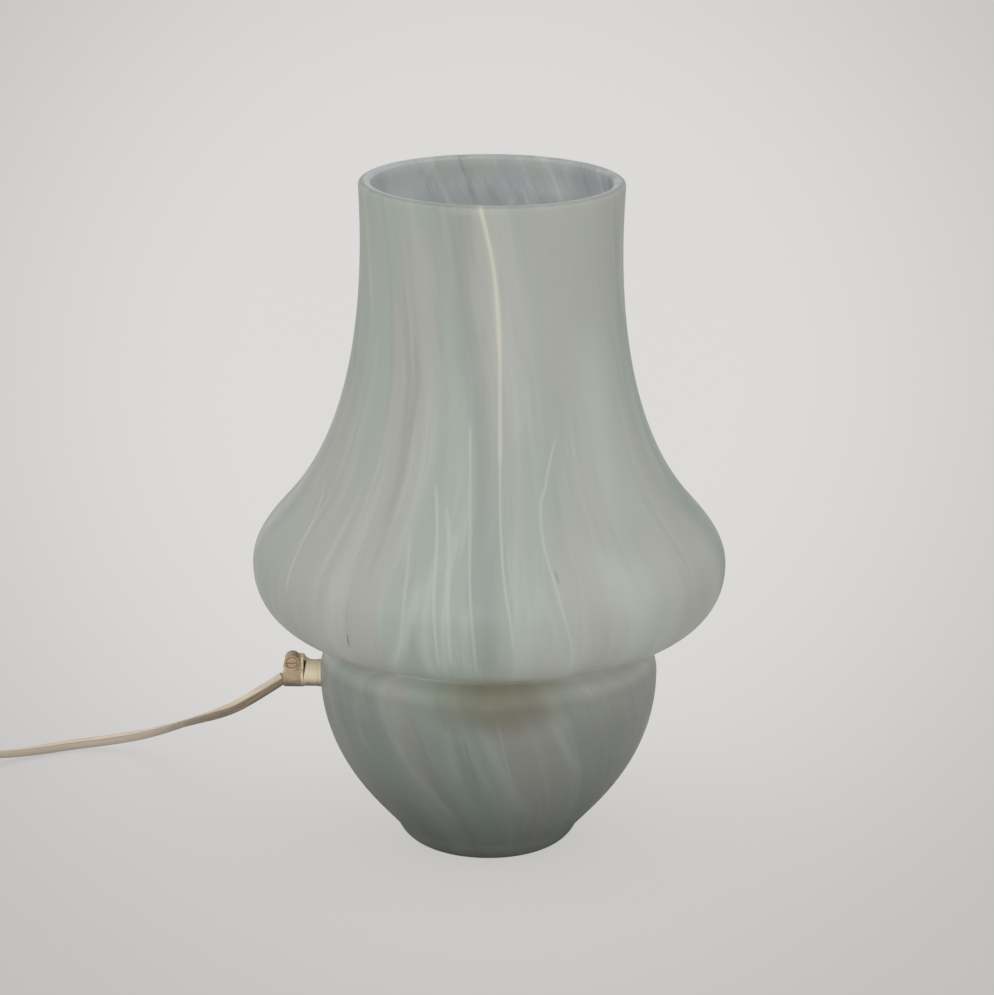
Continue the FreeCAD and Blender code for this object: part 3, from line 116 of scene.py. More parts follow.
def turned_piece(name, outline, columns, closed=False):
    """An outline of (radius, height) turned about Z.

    The point at row i and column j is (r_i cos a_j, r_i sin a_j, z_i), where a_j
    goes once round. A closed outline joins its last row to its first, and any
    other gets a flat fan at each end.
    """
    outline = np.asarray(outline, float)
    angle = np.linspace(0, 2 * np.pi, columns, endpoint=False)
    rings = np.stack([outline[:, :1] * np.cos(angle), outline[:, :1] * np.sin(angle),
                      np.repeat(outline[:, 1:], columns, axis=1)], axis=2)
    points, faces = (rings, grid_faces(len(rings), columns, True)) if closed else closed_shell(rings)
    return mesh_object(name, points, faces, sharp_degrees=50)


print("a grid of 3 rows and 4 columns has", len(grid_faces(3, 4)), "faces")


# %% Standing for CAD nodes
def stand_for(piece, slot, *nodes, body="root"):
    """The new piece rides on its body and hides what it stands for; the slot is not used."""
    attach(piece, body)
    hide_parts(*nodes)
    print(piece.name, "stands for", ", ".join(nodes), "with", len(piece.data.polygons), "faces")


# %% [markdown]
# ## The flex's line
# A lamp like this has about 1.8 m of flat twin flex, of which the picture shows
# the first stretch only. It drops from the grip and swings back past the bowl
# to the table, goes through the inline switch and is put away in a neat coil
# with the plug beside it. Its line is one smooth spline through listed
# points. The coil's turns are points of the same spline: wound inwards on edge,
# one layer up, and outwards again.

# %% Route points
CORD_WIDTH = 0.0054
CORD_THICK = 0.0030

lead_points = [
    (-0.0918, 0.0, 0.0740), (-0.1022, 0.0015, 0.0665), (-0.1135, 0.008, 0.0575), (-0.1245, 0.025, 0.048),
    (-0.134, 0.048, 0.038), (-0.1435, 0.072, 0.0275), (-0.1535, 0.094, 0.0175), (-0.166, 0.1095, 0.0095),
    (-0.182, 0.117, 0.0044), (-0.199, 0.115, 0.0028), (-0.2135, 0.1065, 0.0028), (-0.228, 0.096, 0.0042),
]
SWITCH_CENTRE = np.array([-0.276, 0.068, 0.007])
SWITCH_HEADING = math.radians(208)
SWITCH_ALONG = np.array([math.cos(SWITCH_HEADING), math.sin(SWITCH_HEADING), 0.0])
switch_points = [SWITCH_CENTRE + SWITCH_ALONG * along for along in (-0.040, -0.0245, 0.0, 0.0245, 0.036)]
tail_points = [
    (-0.323, 0.0405, 0.0042), (-0.3315, 0.0235, 0.0029), (-0.3345, 0.003, 0.0029), (-0.3315, -0.019, 0.0029),
    (-0.3290, -0.0350, 0.0029),
]

COIL_CENTRE = (-0.2920, -0.0460)
COIL_OUTER = 0.0369
COIL_STEP = 0.0034
COIL_LOW = 0.0029
COIL_LAYER = 0.0056
POINTS_A_TURN = 12
TURNS_IN, TURNS_UP, TURNS_OUT = 3.5, 0.5, 3.0


def coil_points():
    """Control points of the coil, evenly spaced round it.

    After t turns the radius is outer - step * t on the way in, stays still for
    half a turn while the height rises by one layer, and grows again by the same
    step. The angle starts at 180 degrees. A spline of this order runs inside
    its points by 3/4 + 1/4 cos(360 / points a turn), so they lie out by as much.
    """
    turn = np.arange(0, (TURNS_IN + TURNS_UP + TURNS_OUT) * POINTS_A_TURN + 1) / POINTS_A_TURN
    inwards = np.minimum(turn, TURNS_IN)
    outwards = np.maximum(turn - TURNS_IN - TURNS_UP, 0)
    radius = COIL_OUTER - COIL_STEP * (inwards - outwards)
    radius = radius / (0.75 + 0.25 * math.cos(2 * math.pi / POINTS_A_TURN))
    rise = np.clip((turn - TURNS_IN) / TURNS_UP, 0, 1)
    angle = np.pi + 2 * np.pi * turn
    return np.stack([COIL_CENTRE[0] + radius * np.cos(angle), COIL_CENTRE[1] + radius * np.sin(angle),
                     COIL_LOW + COIL_LAYER * rise], axis=1)


end_points = [(-0.3272, -0.0580, 0.0085), (-0.3272, -0.0700, 0.0085), (-0.3271, -0.0785, 0.0084),
              (-0.3271, -0.0865, 0.0073), (-0.3271, -0.0924, 0.0070), (-0.3271, -0.0970, 0.0070)]
route = np.vstack([lead_points, switch_points, tail_points, coil_points(), end_points])
print("route has", len(route), "points, the coil", len(coil_points()))


# %% Spline and the line it gives
def smooth_line(name, points):
    """Points along a NURBS spline of order 3 that has the given control points."""
    curve = bpy.data.curves.new(name, "CURVE")
    curve.dimensions = "3D"
    spline = curve.splines.new("NURBS")
    spline.points.add(len(points) - 1)
    spline.points.foreach_set("co", np.column_stack([points, np.ones(len(points))]).ravel())
    spline.order_u = 3
    spline.use_endpoint_u = True
    spline.resolution_u = 6
    holder = bpy.data.objects.new(name, curve)
    bpy.context.scene.collection.objects.link(holder)
    mesh = bpy.data.meshes.new_from_object(holder.evaluated_get(bpy.context.evaluated_depsgraph_get()))
    line = np.empty(len(mesh.vertices) * 3)
    mesh.vertices.foreach_get("co", line)
    bpy.data.objects.remove(holder)
    bpy.data.meshes.remove(mesh)
    return line.reshape(-1, 3)


cord_line = smooth_line("flex_line", route)
travelled = np.concatenate([[0], np.cumsum(np.linalg.norm(np.diff(cord_line, axis=0), axis=1))])
print("flex is", round(travelled[-1], 3), "m long, in", len(cord_line), "rings")

# %% [markdown]
# ## The flat twin flex
# Two insulated cores lie side by side in one soft jacket, so its section is a
# flat eight. It leaves the grip with its broad side to the front, turns on to
# its edge on the way down, and lies flat where it reaches the table. It is
# wound on edge, since it hardly bends the other way. The section is carried
# along the line and turned about it by an angle that grows and falls with the
# length travelled.

# %% Flex surface
SECTION_POINTS = 28
GROOVE_DEPTH = 0.3      # as a share of a core's radius


def twin_section():
    """Outline of two touching round cores under one jacket.

    With x across the flex, the height is that of a circle about each core's
    centre, and between the centres it dips towards the middle by a square law.
    """
    turn = np.linspace(0, 2 * np.pi, SECTION_POINTS, endpoint=False)
    round_radius = CORD_THICK / 2
    core = CORD_WIDTH / 2 - round_radius
    across = CORD_WIDTH / 2 * np.cos(turn)
    beyond = np.maximum(np.abs(across) - core, 0)
    height = np.sqrt(np.maximum(round_radius ** 2 - beyond ** 2, 0))
    height -= GROOVE_DEPTH * round_radius * np.clip(1 - np.abs(across) / core, 0, 1) ** 2
    return across, height * np.sign(np.sin(turn))


def carried_section(line, twist, across, height):
    """A section carried along a line.

    At each ring the level direction is the tangent crossed with up. The
    section's width lies along level * cos(twist) + upright * sin(twist).
    """
    tangent = np.gradient(line, axis=0)
    tangent /= np.linalg.norm(tangent, axis=1, keepdims=True)
    level = np.cross(tangent, [0.0, 0.0, 1.0])
    level /= np.linalg.norm(level, axis=1, keepdims=True)
    upright = np.cross(level, tangent)
    cosine, sine = np.cos(twist)[:, None], np.sin(twist)[:, None]
    wide = level * cosine + upright * sine
    thin = upright * cosine - level * sine
    return line[:, None] + wide[:, None] * across[None, :, None] + thin[:, None] * height[None, :, None]


print("the section has", SECTION_POINTS, "points")

# %% Flex mesh and its coordinates
TWIST_AT = [   # length travelled in metres, degrees
    (0.0, 88), (0.030, 80), (0.060, 40), (0.095, 18), (0.150, 42), (0.190, 30), (0.225, 0), (0.330, 0),
    (0.395, 88), (3.0, 88),
]
twist = np.radians(np.interp(travelled, *np.array(TWIST_AT).T))
across, height = twin_section()
rings = carried_section(cord_line, twist, across, height)
columns = len(across)
# Seen along the line the section runs the other way round, so its faces are turned to look outwards.
flex_faces = [face[::-1] for face in grid_faces(len(rings), columns)]
flex_faces += [list(range(columns)), list(range((len(rings) - 1) * columns, len(rings) * columns))[::-1]]
flex = mesh_object("twin_flex", rings, flex_faces, sharp_degrees=60)
# The first coordinate is the length travelled in metres, the second the place across, from 0 to 1.
flex_uv = np.stack([np.repeat(travelled, columns), np.tile(across / CORD_WIDTH + 0.5, len(rings))], axis=1)
corners = np.empty(len(flex.data.loops), dtype=np.int32)
flex.data.loops.foreach_get("vertex_index", corners)
flex.data.uv_layers.new(name="along_and_across").data.foreach_set("uv", flex_uv[corners].ravel())
stand_for(flex, "flex_pvc", "cord_lead", "cord_tail", "cord_coil", "cord_end")

# %% [markdown]
# ## Finishes from nodes
# A finish is a small network: coordinates, a few noises, and one shader that
# takes their colour, roughness and bump. A short helper adds a node, sets its
# sockets and links what is handed to it, so that each finish below reads from
# the coordinates to the shader. Patterns read the piece's own coordinates, so
# they stay where they are when the camera or the piece moves.

# %% Node helper
class Finish:
    """A material with a principled shader, and a shorthand for adding nodes."""

    def __init__(self, name, **constants):
        self.material = bpy.data.materials.new(name)
        self.material.use_nodes = True
        self.tree = self.material.node_tree
        self.shader = self.tree.nodes["Principled BSDF"]
        for socket, value in constants.items():
            self.shader.inputs[socket.replace("_", " ")].default_value = value
        self.place = self.add("ShaderNodeTexCoord").outputs["Object"]

    def add(self, kind, settings=None, **inputs):
        """A node. Inputs are values or outputs to link, and go by socket name, or by i and a number."""
        node = self.tree.nodes.new(kind)
        for name, value in (settings or {}).items():
            setattr(node, name, value)
        for name, value in inputs.items():
            socket = node.inputs[int(name[1:]) if name[1:].isdigit() else name.replace("_", " ")]
            if isinstance(value, bpy.types.NodeSocket):
                self.tree.links.new(value, socket)
            else:
                socket.default_value = value
        return node

    def math(self, operation, *values):
        """One sum, product or other operation on numbers."""
        inputs = {f"i{index}": value for index, value in enumerate(values)}
        return self.add("ShaderNodeMath", {"operation": operation}, **inputs).outputs[0]

    def times(self, product, *factors):
        for factor in factors:
            product = self.math("MULTIPLY", product, factor)
        return product

    def vector(self, operation, *values, **inputs):
        """One operation on vectors, such as a sum, or a product axis by axis."""
        inputs.update({f"i{index}": value for index, value in enumerate(values)})
        return self.add("ShaderNodeVectorMath", {"operation": operation}, **inputs).outputs[0]

    def length(self, vector):
        return self.add("ShaderNodeVectorMath", {"operation": "LENGTH"}, i0=vector).outputs["Value"]

    def split(self, vector):
        return self.add("ShaderNodeSeparateXYZ", Vector=vector).outputs

    def noise(self, scale, detail=3.0, roughness=0.5, where=None):
        """Cloudy values round 0.5, with as many lumps to a unit of the coordinates as the scale says."""
        return self.add("ShaderNodeTexNoise", Vector=self.place if where is None else where, Scale=scale,
                        Detail=detail, Roughness=roughness).outputs[0]

    def between(self, value, low, high, to_low=0.0, to_high=1.0):
        """The share of the way from low to high, eased at both ends."""
        return self.add("ShaderNodeMapRange", {"interpolation_type": "SMOOTHSTEP"}, Value=value, From_Min=low,
                        From_Max=high, To_Min=to_low, To_Max=to_high).outputs[0]

    def mix(self, share, first, second):
        """(1 - share) first + share second."""
        first, second = ((*value, 1.0) if isinstance(value, tuple) else value for value in (first, second))
        return self.add("ShaderNodeMix", {"data_type": "RGBA"}, i0=share, i6=first, i7=second).outputs[2]

    def over(self, below, above, value, low, high, most=1.0):
        """A colour with another laid over it, from not at all at the low value to most at the high one."""
        return self.mix(self.between(value, low, high, 0.0, most), below, above)

    def bump(self, height, depth, strength):
        return self.add("ShaderNodeBump", Height=height, Strength=strength, Distance=depth).outputs[0]

    def set(self, **outputs):
        """Links node outputs to the shader's sockets."""
        for socket, output in outputs.items():
            self.tree.links.new(output, self.shader.inputs[socket.replace("_", " ")])

    def surface(self, colour, gloss_scale, roughness, bump):
        """Links a colour and a bump, and a roughness that drifts between two values."""
        self.set(Base_Color=colour, Normal=bump,
                 Roughness=self.between(self.noise(gloss_scale), 0.3, 0.7, *roughness))


print("finish helper ready")


# %% Painting, and a finish for plain stock
def paint(material, pieces):
    """Gives pieces the finish in all their slots; a name stands for the CAD node."""
    for piece in pieces:
        slots = (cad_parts[piece] if isinstance(piece, str) else piece).data.materials
        slots.clear()
        slots.append(material)


def wear(name, pieces, colour, low_share, roughness, grain_scale, grain_depth, spots=60.0, **constants):
    """Moulded or turned stock: a colour that drifts a little, a fine grain, uneven gloss."""
    finish = Finish(name, **constants)
    darker = tuple(channel * low_share for channel in colour)
    drifting = finish.over(darker, colour, finish.noise(spots, 4.0, 0.6), 0.3, 0.7)
    grain = finish.noise(grain_scale, 2.0)
    finish.surface(drifting, spots * 2.3, roughness, finish.bump(grain, grain_depth, 0.6))
    paint(finish.material, pieces)


print("finishes for", len(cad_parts), "nodes and the pieces that stand for them")

# %% [markdown]
# ## The glass body
# The real body is blown: one wall of about 3.6 mm that swells to the bowl, folds
# in at the waist, swells again to the shade and runs up into the chimney, with
# a thicker foot and a fire-rounded rim. Its outline is drawn from the stations
# of the CAD model: at each one the glass has a radius, a height and a heading,
# and a cubic curve joins two stations. The inside is the same outline, moved in
# by the wall.

# %% Glass outline
WALL = 3.6                        # mm
LIP_SHARE = 1.5                   # the lip, in walls
LIP_FROM = 300.0                  # mm, above it the glass is lip
QUARTER_ROUND = (0.3905, 0.3905)  # the pulls that make a quarter of a circle
STATIONS = [                      # radius, height (mm), heading (degrees), pulls towards the next one
    (40.5, 9.5, 50.0, (0.17, 0.49)), (75.2, 79.0, 90.0, (0.62, 0.45)), (60.2, 90.1, 180.0, QUARTER_ROUND),
    (58.0, 92.3, 90.0, QUARTER_ROUND), (60.2, 94.5, 0.0, (0.22, 0.50)), (105.0, 129.8, 90.0, (0.36, 0.32)),
    (87.4, 160.3, 128.7, (0.33, 0.32)), (57.6, 275.0, 90.0, (0.33, 0.33)), (58.4, 300.2, 87.0, None),
]
POINTS_BETWEEN = (30, 26, 5, 5, 24, 20, 44, 8)


def eased_curve(start, start_degrees, end, end_degrees, pulls, count):
    """A cubic that leaves and arrives at the given headings.

    At share t it is (1-t)^3 start + 3 (1-t)^2 t leave + 3 (1-t) t^2 arrive + t^3 end,
    where leave and arrive lie on the headings, at the pulls' shares of the chord.
    """
    start, end = np.array(start, float), np.array(end, float)
    chord = np.linalg.norm(end - start)
    ways = [np.array([math.cos(math.radians(angle)), math.sin(math.radians(angle))])
            for angle in (start_degrees, end_degrees)]
    leave, arrive = start + ways[0] * chord * pulls[0], end - ways[1] * chord * pulls[1]
    share = np.linspace(0, 1, count)[:, None]
    return ((1 - share) ** 3 * start + 3 * (1 - share) ** 2 * share * leave
            + 3 * (1 - share) * share ** 2 * arrive + share ** 3 * end)


def glass_line(inset):
    """The outline from the crease to the rim, moved inwards by the inset in mm."""
    places = []
    for radius, height_mm, degrees, _ in STATIONS:
        inwards = math.radians(degrees + 90)
        reach = inset * (LIP_SHARE if height_mm > LIP_FROM else 1)
        places.append((radius + reach * math.cos(inwards), height_mm + reach * math.sin(inwards)))
    lines = []
    for index, count in enumerate(POINTS_BETWEEN):
        heading, pulls = STATIONS[index][2:]
        line = eased_curve(places[index], heading, places[index + 1], STATIONS[index + 1][2], pulls, count)
        lines.append(line[1 if lines else 0:])
    return np.vstack(lines)


outer_line = glass_line(0.0)
inner_line = glass_line(WALL)
print("outer line:", len(outer_line), "points")

# %% Foot, lip and glass body
heel = eased_curve((30.5, 0.0), 22, outer_line[0], 66, (0.4, 0.35), 9)[:-1]
lip_centre = (outer_line[-1] + inner_line[-1]) / 2
lip_arm = (outer_line[-1] - inner_line[-1]) / 2
lip_turn = np.linspace(0, np.pi, 9)[1:-1, None]
lip = lip_centre + lip_arm * np.cos(lip_turn) + np.array([0.0, WALL / 2]) * np.sin(lip_turn)
floor_edge = (25.11, 6.0)
inner_floor = eased_curve(floor_edge, 0, inner_line[0], 50, (0.45, 0.3), 12)[:-1]
punt = [(10.0, 1.2), (19.6, 1.2), (21.8, 0.1), (22.3, 0.0)]
glass_outline = np.vstack([punt, heel, outer_line, lip, inner_line[::-1], inner_floor[::-1], [(12.0, 6.0)]])
glass = turned_piece("blown_glass", glass_outline / 1000, columns=256)
print("glass outline:", len(glass_outline), "points, widest", round(glass_outline[:, 0].max(), 2), "mm")
stand_for(glass, "satin_glass", "glass_bowl", "glass_brim", "glass_shade", "glass_chimney")

# %% [markdown]
# ## Milky streaks in the glass
# The gather was rolled in white and green glass and drawn out as it was blown,
# so the colour runs along the body in bands, fanning out where it swells and
# twisting a little in the chimney and the bowl. A noise that is stretched along
# the height gives such bands. It is read at the direction from the axis, not
# at the place itself, so the bands fan out with the radius and meet without a
# seam.

# %% Coordinates of the streaks
UPPER_TWIST_FROM, UPPER_TWIST = 0.225, 2.6      # m, radians a metre
LOWER_TWIST_FROM, LOWER_TWIST = 0.090, 5.5

satin = Finish("satin_milky_glass", IOR=1.5, Transmission_Weight=0.12, Specular_IOR_Level=0.22)
side, back, height = satin.split(satin.place)
angle = satin.math("ARCTAN2", side, satin.times(back, -1.0))
radius = satin.length(satin.vector("MULTIPLY", satin.place, (1.0, 1.0, 0.0)))


def streak_coordinates(around, along):
    """Direction from the axis times one scale, and height times another.

    The direction is first turned back by the twist of the bands, which grows
    above one height and below another.
    """
    above = satin.math("MAXIMUM", satin.math("SUBTRACT", height, UPPER_TWIST_FROM), 0.0)
    below = satin.math("MINIMUM", satin.math("SUBTRACT", height, LOWER_TWIST_FROM), 0.0)
    twisted = satin.math("MULTIPLY_ADD", above, UPPER_TWIST, satin.times(below, LOWER_TWIST))
    turned_place = satin.add("ShaderNodeVectorRotate", {"rotation_type": "Z_AXIS"}, Vector=satin.place,
                             Angle=twisted).outputs[0]
    direction = satin.vector("NORMALIZE", satin.vector("MULTIPLY", turned_place, (1.0, 1.0, 0.0)))
    waviness = satin.add("ShaderNodeTexNoise", Vector=satin.place, Scale=14.0, Detail=2.0).outputs[1]
    waviness = satin.vector("SCALE", satin.vector("SUBTRACT", waviness, (0.5, 0.5, 0.5)), Scale=0.10)
    stretched = satin.vector("MULTIPLY", satin.vector("ADD", direction, waviness), (around, around, 0.0))
    lift = satin.add("ShaderNodeCombineXYZ", Z=satin.times(height, along)).outputs[0]
    return satin.vector("ADD", stretched, lift)


print("glass coordinates:", len(satin.tree.nodes), "nodes")

# %% Bands
MILKY = (0.485, 0.515, 0.470)
GREY_GREEN = (0.362, 0.413, 0.364)
WARM_GREY = (0.415, 0.415, 0.378)
DEEP_GREY = (0.290, 0.320, 0.290)
broad = satin.noise(1.0, 2.0, 0.50, streak_coordinates(1.9, 6.0))
bands = satin.noise(1.0, 3.0, 0.55, streak_coordinates(5.5, 7.0))
fine = satin.noise(1.0, 5.0, 0.62, streak_coordinates(22.0, 9.0))
colour = satin.over(GREY_GREEN, WARM_GREY, broad, 0.40, 0.60)
colour = satin.over(colour, MILKY, bands, 0.50, 0.72, 0.55)
colour = satin.over(colour, DEEP_GREY, bands, 0.46, 0.30, 0.45)
softer = satin.between(height, 0.215, 0.265, 1.0, 0.40)      # the chimney's streaks are the softest
for streak_colour, low, high, most in ((MILKY, 0.54, 0.74, 0.50), (DEEP_GREY, 0.44, 0.28, 0.30)):
    share = satin.times(satin.between(fine, low, high, 0.0, most), softer)
    colour = satin.mix(share, colour, streak_colour)
print("bands:", len(satin.tree.nodes), "nodes so far")

# %% [markdown]
# ## Threads and wisps
# Where the milky glass lies thick, the picture shows single threads and broad
# wisps. A noise can't be told where to put these, and a painted texture would
# be a picture. So each is given as a short list of heights and angles that
# becomes a float curve, and the distance from that curve along the glass makes
# its mask. Two small dark marks are made in the same way.

# %% Mask of a thread
LEAST_FADE, RIM_FADE, RIM_THREAD = 8.0, 1.0, 298.0      # mm
FADE_PER_WIDTH = 1500.0                                 # mm for each metre of half width


def thread_mask(knots, half_width):
    """How much a point belongs to a thread that follows (height mm, angle degrees) knots.

    It is 1 on the thread and falls to 0 at its half width, measured along the
    glass as the difference in angle times the radius. The ends fade out: over a
    longer stretch where the thread is broad, and hardly at all at the rim.
    """
    heights, angles = np.array(knots, float).T
    low, high = heights.min(), heights.max()
    least, most = angles.min() - 1, angles.max() + 1
    share = satin.add("ShaderNodeMapRange", Value=height, From_Min=low / 1000, From_Max=high / 1000)
    curve = satin.add("ShaderNodeFloatCurve", Value=share.outputs[0])
    points = curve.mapping.curves[0].points
    places = sorted(zip((heights - low) / (high - low), (angles - least) / (most - least)))
    while len(points) < len(places):
        points.new(0.5, 0.5)
    for point, place in zip(points, places):
        point.location = place
    curve.mapping.update()
    span, start = math.radians(most - least), math.radians(least)
    off_line = satin.math("SUBTRACT", angle, satin.math("MULTIPLY_ADD", curve.outputs[0], span, start))
    away = satin.times(satin.math("ABSOLUTE", off_line), radius)
    fade = min(max(LEAST_FADE, FADE_PER_WIDTH * half_width), (high - low) / 3)
    top_fade = RIM_FADE if high > RIM_THREAD else fade
    return satin.times(satin.between(away, half_width, 0.0),
                       satin.between(height, (low - 0.1) / 1000, (low + fade) / 1000),
                       satin.between(height, (high + 0.1) / 1000, (high - top_fade) / 1000))


print("thin threads fade out over", LEAST_FADE, "mm, and over", RIM_FADE, "mm at the rim")

# %% Threads and wisps
CREAM, GREEN = (0.640, 0.610, 0.520), (0.355, 0.425, 0.368)
LIGHT_WARM, DARK_MARK = (0.438, 0.438, 0.402), (0.12, 0.20, 0.16)
THREADS = [   # knots as (height mm, angle degrees), half width in metres, colour, strength
    ([(299, -13.4), (248, -11.3), (206, -4.6), (171, -2.3), (142, -1.2), (104, 0)], 0.0075, DEEP_GREY, 0.55),
    ([(303, 34), (270, 33), (240, 34), (205, 38)], 0.0360, LIGHT_WARM, 0.85),
    ([(260, 46), (205, 47), (150, 44)], 0.0240, MILKY, 0.65),
    ([(165, 38), (125, 40), (97, 44)], 0.0320, MILKY, 0.60),
    ([(185, 84), (130, 88), (100, 92)], 0.0320, DEEP_GREY, 0.75),
    ([(303, -5.2), (290, -2.0), (277, 0.6), (262, 2.4), (240, 3.6), (211, 3.7), (190, 3.6)],
     0.0014, CREAM, 0.75),
    ([(235, 3.6), (211, 3.7), (161, 3.4), (131, 5.1), (116, 6.4)], 0.0010, MILKY, 0.75),
    ([(303, -5.2), (290, -2.0), (277, 0.6), (262, 2.4), (235, 3.6)], 0.0026, CREAM, 0.35),
    ([(300, -48), (250, -52), (200, -50), (165, -46)], 0.0150, GREEN, 0.55),
    ([(262, 62), (215, 58), (180, 50), (150, 44)], 0.0130, GREEN, 0.30),
    ([(300, 20), (262, 27), (225, 30), (190, 24)], 0.0140, WARM_GREY, 0.60),
    ([(205, 26.2), (184, 19.1), (168, 15.6), (142, 16.9), (112, 21.0), (101, 22)], 0.0011, MILKY, 0.75),
    ([(176, -67.5), (151, -58.6), (128, -56.5)], 0.0010, CREAM, 0.45),
    ([(212, -7.9), (161, -5.5), (110, -3.1), (101, -3)], 0.0012, MILKY, 0.60),
    ([(186, -18.8), (131, -12.7), (106, -12.5)], 0.0012, MILKY, 0.75),
    ([(178, -14.2), (141, -9.8), (108, -9.3)], 0.0016, MILKY, 0.60),
    ([(166, -24.0), (131, -20.5), (110, -24.0), (103, -30)], 0.0014, MILKY, 0.55),
    ([(80, 20.0), (66, 26.0), (48, 36.0)], 0.0044, MILKY, 0.60),
    ([(150, -17), (125, -20), (104, -26), (97, -28)], 0.0050, MILKY, 0.45),
    ([(160, -14), (130, -15), (100, -15)], 0.0036, MILKY, 0.40),
    ([(170, -10), (135, -10.5), (100, -11)], 0.0026, MILKY, 0.45),
    ([(140, -5.5), (115, -5), (98, -4)], 0.0034, MILKY, 0.30),
    # A painted highlight: this broad milky band on the right of the shade stands in for a faint sheen.
    ([(165, 30), (140, 34), (118, 40)], 0.0120, MILKY, 0.35),
    ([(150, 12), (125, 16), (104, 20)], 0.0036, MILKY, 0.30),
    ([(86, -40), (66, -34), (44, -24), (22, -12)], 0.0036, MILKY, 0.40),
    ([(80, -5), (60, 3), (36, 12)], 0.0040, MILKY, 0.30),
    ([(84, 40), (62, 50), (40, 60)], 0.0060, GREEN, 0.50),
    ([(82, 2.3), (62, 5.8), (44, 9.9)], 0.0013, MILKY, 0.60),
    ([(76, -1), (60, 3), (44, 9), (28, 17)], 0.0058, MILKY, 0.50),
    ([(78, -13.5), (62, -12.5), (46, -9.5)], 0.0046, MILKY, 0.40),
    ([(86, -33), (72, -32.5), (54, -29)], 0.0044, MILKY, 0.40),
    ([(84, -51), (68, -50), (54, -46)], 0.0048, MILKY, 0.40),
    ([(74, -8.5), (58, -6.0), (44, -2.5)], 0.0011, DARK_MARK, 0.20),
    ([(70, 62), (54, 66), (38, 72)], 0.0050, MILKY, 0.30),
    ([(122, -35.7), (113, -36.3)], 0.0007, DARK_MARK, 0.85),
    ([(152, 17.0), (146, 17.6)], 0.0009, DARK_MARK, 0.45),
]
for knots, half_width, thread_colour, strength in THREADS:
    mask = satin.times(thread_mask(knots, half_width), strength)
    colour = satin.mix(mask, colour, thread_colour)
print("threads and wisps:", len(THREADS))

# %% [markdown]
# ## The lampholder's painted shadow, and painted shade on the bowl
# The lampholder shows as a warm dark patch through the front of the bowl, and
# the bowl, under the shade, gets less light than the shade. Glass that lets the
# light through could show both, but is slow and noisy to render through so thick
# a wall. So the patch is a painted shadow, an ellipse of angle and height, and the
# bowl gets painted shade that follows the height.

# %% Patch and darkening
HOLDER_SHADOW, BLACK = (0.235, 0.220, 0.150), (0.0, 0.0, 0.0)
PATCH_ASIDE, PATCH_HEIGHT = 0.005, 0.0855
PATCH_REACH = (0.040, 0.0185)                                # m, to the side and upwards
# Painted shade on the bowl: below the waist the glass is darkened by height, most at the foot.
BOWL_HEIGHTS, WAIST_HEIGHTS = (0.0, 0.075), (0.082, 0.094)   # m, where the glass gets lighter on the way up
aside = satin.math("DIVIDE", satin.math("MULTIPLY_ADD", angle, radius, -PATCH_ASIDE), PATCH_REACH[0])
lower = satin.math("DIVIDE", satin.math("SUBTRACT", height, PATCH_HEIGHT), PATCH_REACH[1])
apart = satin.math("SQRT", satin.math("MULTIPLY_ADD", aside, aside, satin.times(lower, lower)))
# Painted shadow of the lampholder, seen through the front of the bowl.
colour = satin.over(colour, HOLDER_SHADOW, apart, 1.0, 0.25, 0.75)
brightness = satin.math("ADD", satin.between(height, *BOWL_HEIGHTS, 0.385, 0.585),
                        satin.between(height, *WAIST_HEIGHTS, 0.0, 0.415))
colour = satin.mix(brightness, BLACK, colour)
print("patch and darkening:", len(satin.tree.nodes), "nodes so far")

# %% [markdown]
# ## Inside the chimney
# The inner wall shows through the open top. It is bluer than the outside, paler
# on the left, and has milky arcs that cross each other. The glass is one piece,
# so its finish tells the inside from the outside by the radius, and two noises
# that lean opposite ways give the arcs.

# %% Inner wall
BLUE_GREY, INNER_GREEN = (0.620, 0.645, 0.660), (0.665, 0.710, 0.665)
INNER_MILKY, INNER_DARK = (0.860, 0.880, 0.880), (0.440, 0.465, 0.490)
INNER_RADII, INNER_HEIGHTS = (0.0566, 0.0556), (0.20, 0.24)  # m, between the outside's look and the inside's
MOUTH_HEIGHTS = (0.284, 0.299)                               # m, where the inside darkens towards the rim
leaning = []
for lean, around, seed in ((-9.0, 150.0, 3.0), (13.0, 95.0, 8.0)):
    turned = satin.add("ShaderNodeVectorRotate", {"rotation_type": "Z_AXIS"}, Vector=satin.place,
                       Angle=satin.times(height, lean)).outputs[0]
    turned = satin.vector("ADD", satin.vector("MULTIPLY", turned, (around, around, 22.0)), (seed, 0.0, 0.0))
    leaning.append(satin.noise(1.0, 4.0, 0.6, turned))
inner_colour = satin.over(BLUE_GREY, INNER_GREEN, satin.noise(38.0, 2.0), 0.42, 0.58)
inner_colour = satin.over(inner_colour, INNER_MILKY, leaning[0], 0.50, 0.72, 0.8)
inner_colour = satin.over(inner_colour, INNER_DARK, leaning[0], 0.46, 0.32, 0.7)
inner_colour = satin.over(inner_colour, INNER_MILKY, leaning[1], 0.56, 0.68, 0.6)
inner_colour = satin.over(inner_colour, INNER_MILKY, side, -0.018, -0.044, 0.6)
inner_colour = satin.mix(satin.between(height, *MOUTH_HEIGHTS, 1.04, 0.74), BLACK, inner_colour)
inside = satin.times(satin.between(radius, *INNER_RADII), satin.between(height, *INNER_HEIGHTS))
colour = satin.mix(inside, colour, inner_colour)
print("inner wall:", len(satin.tree.nodes), "nodes so far")
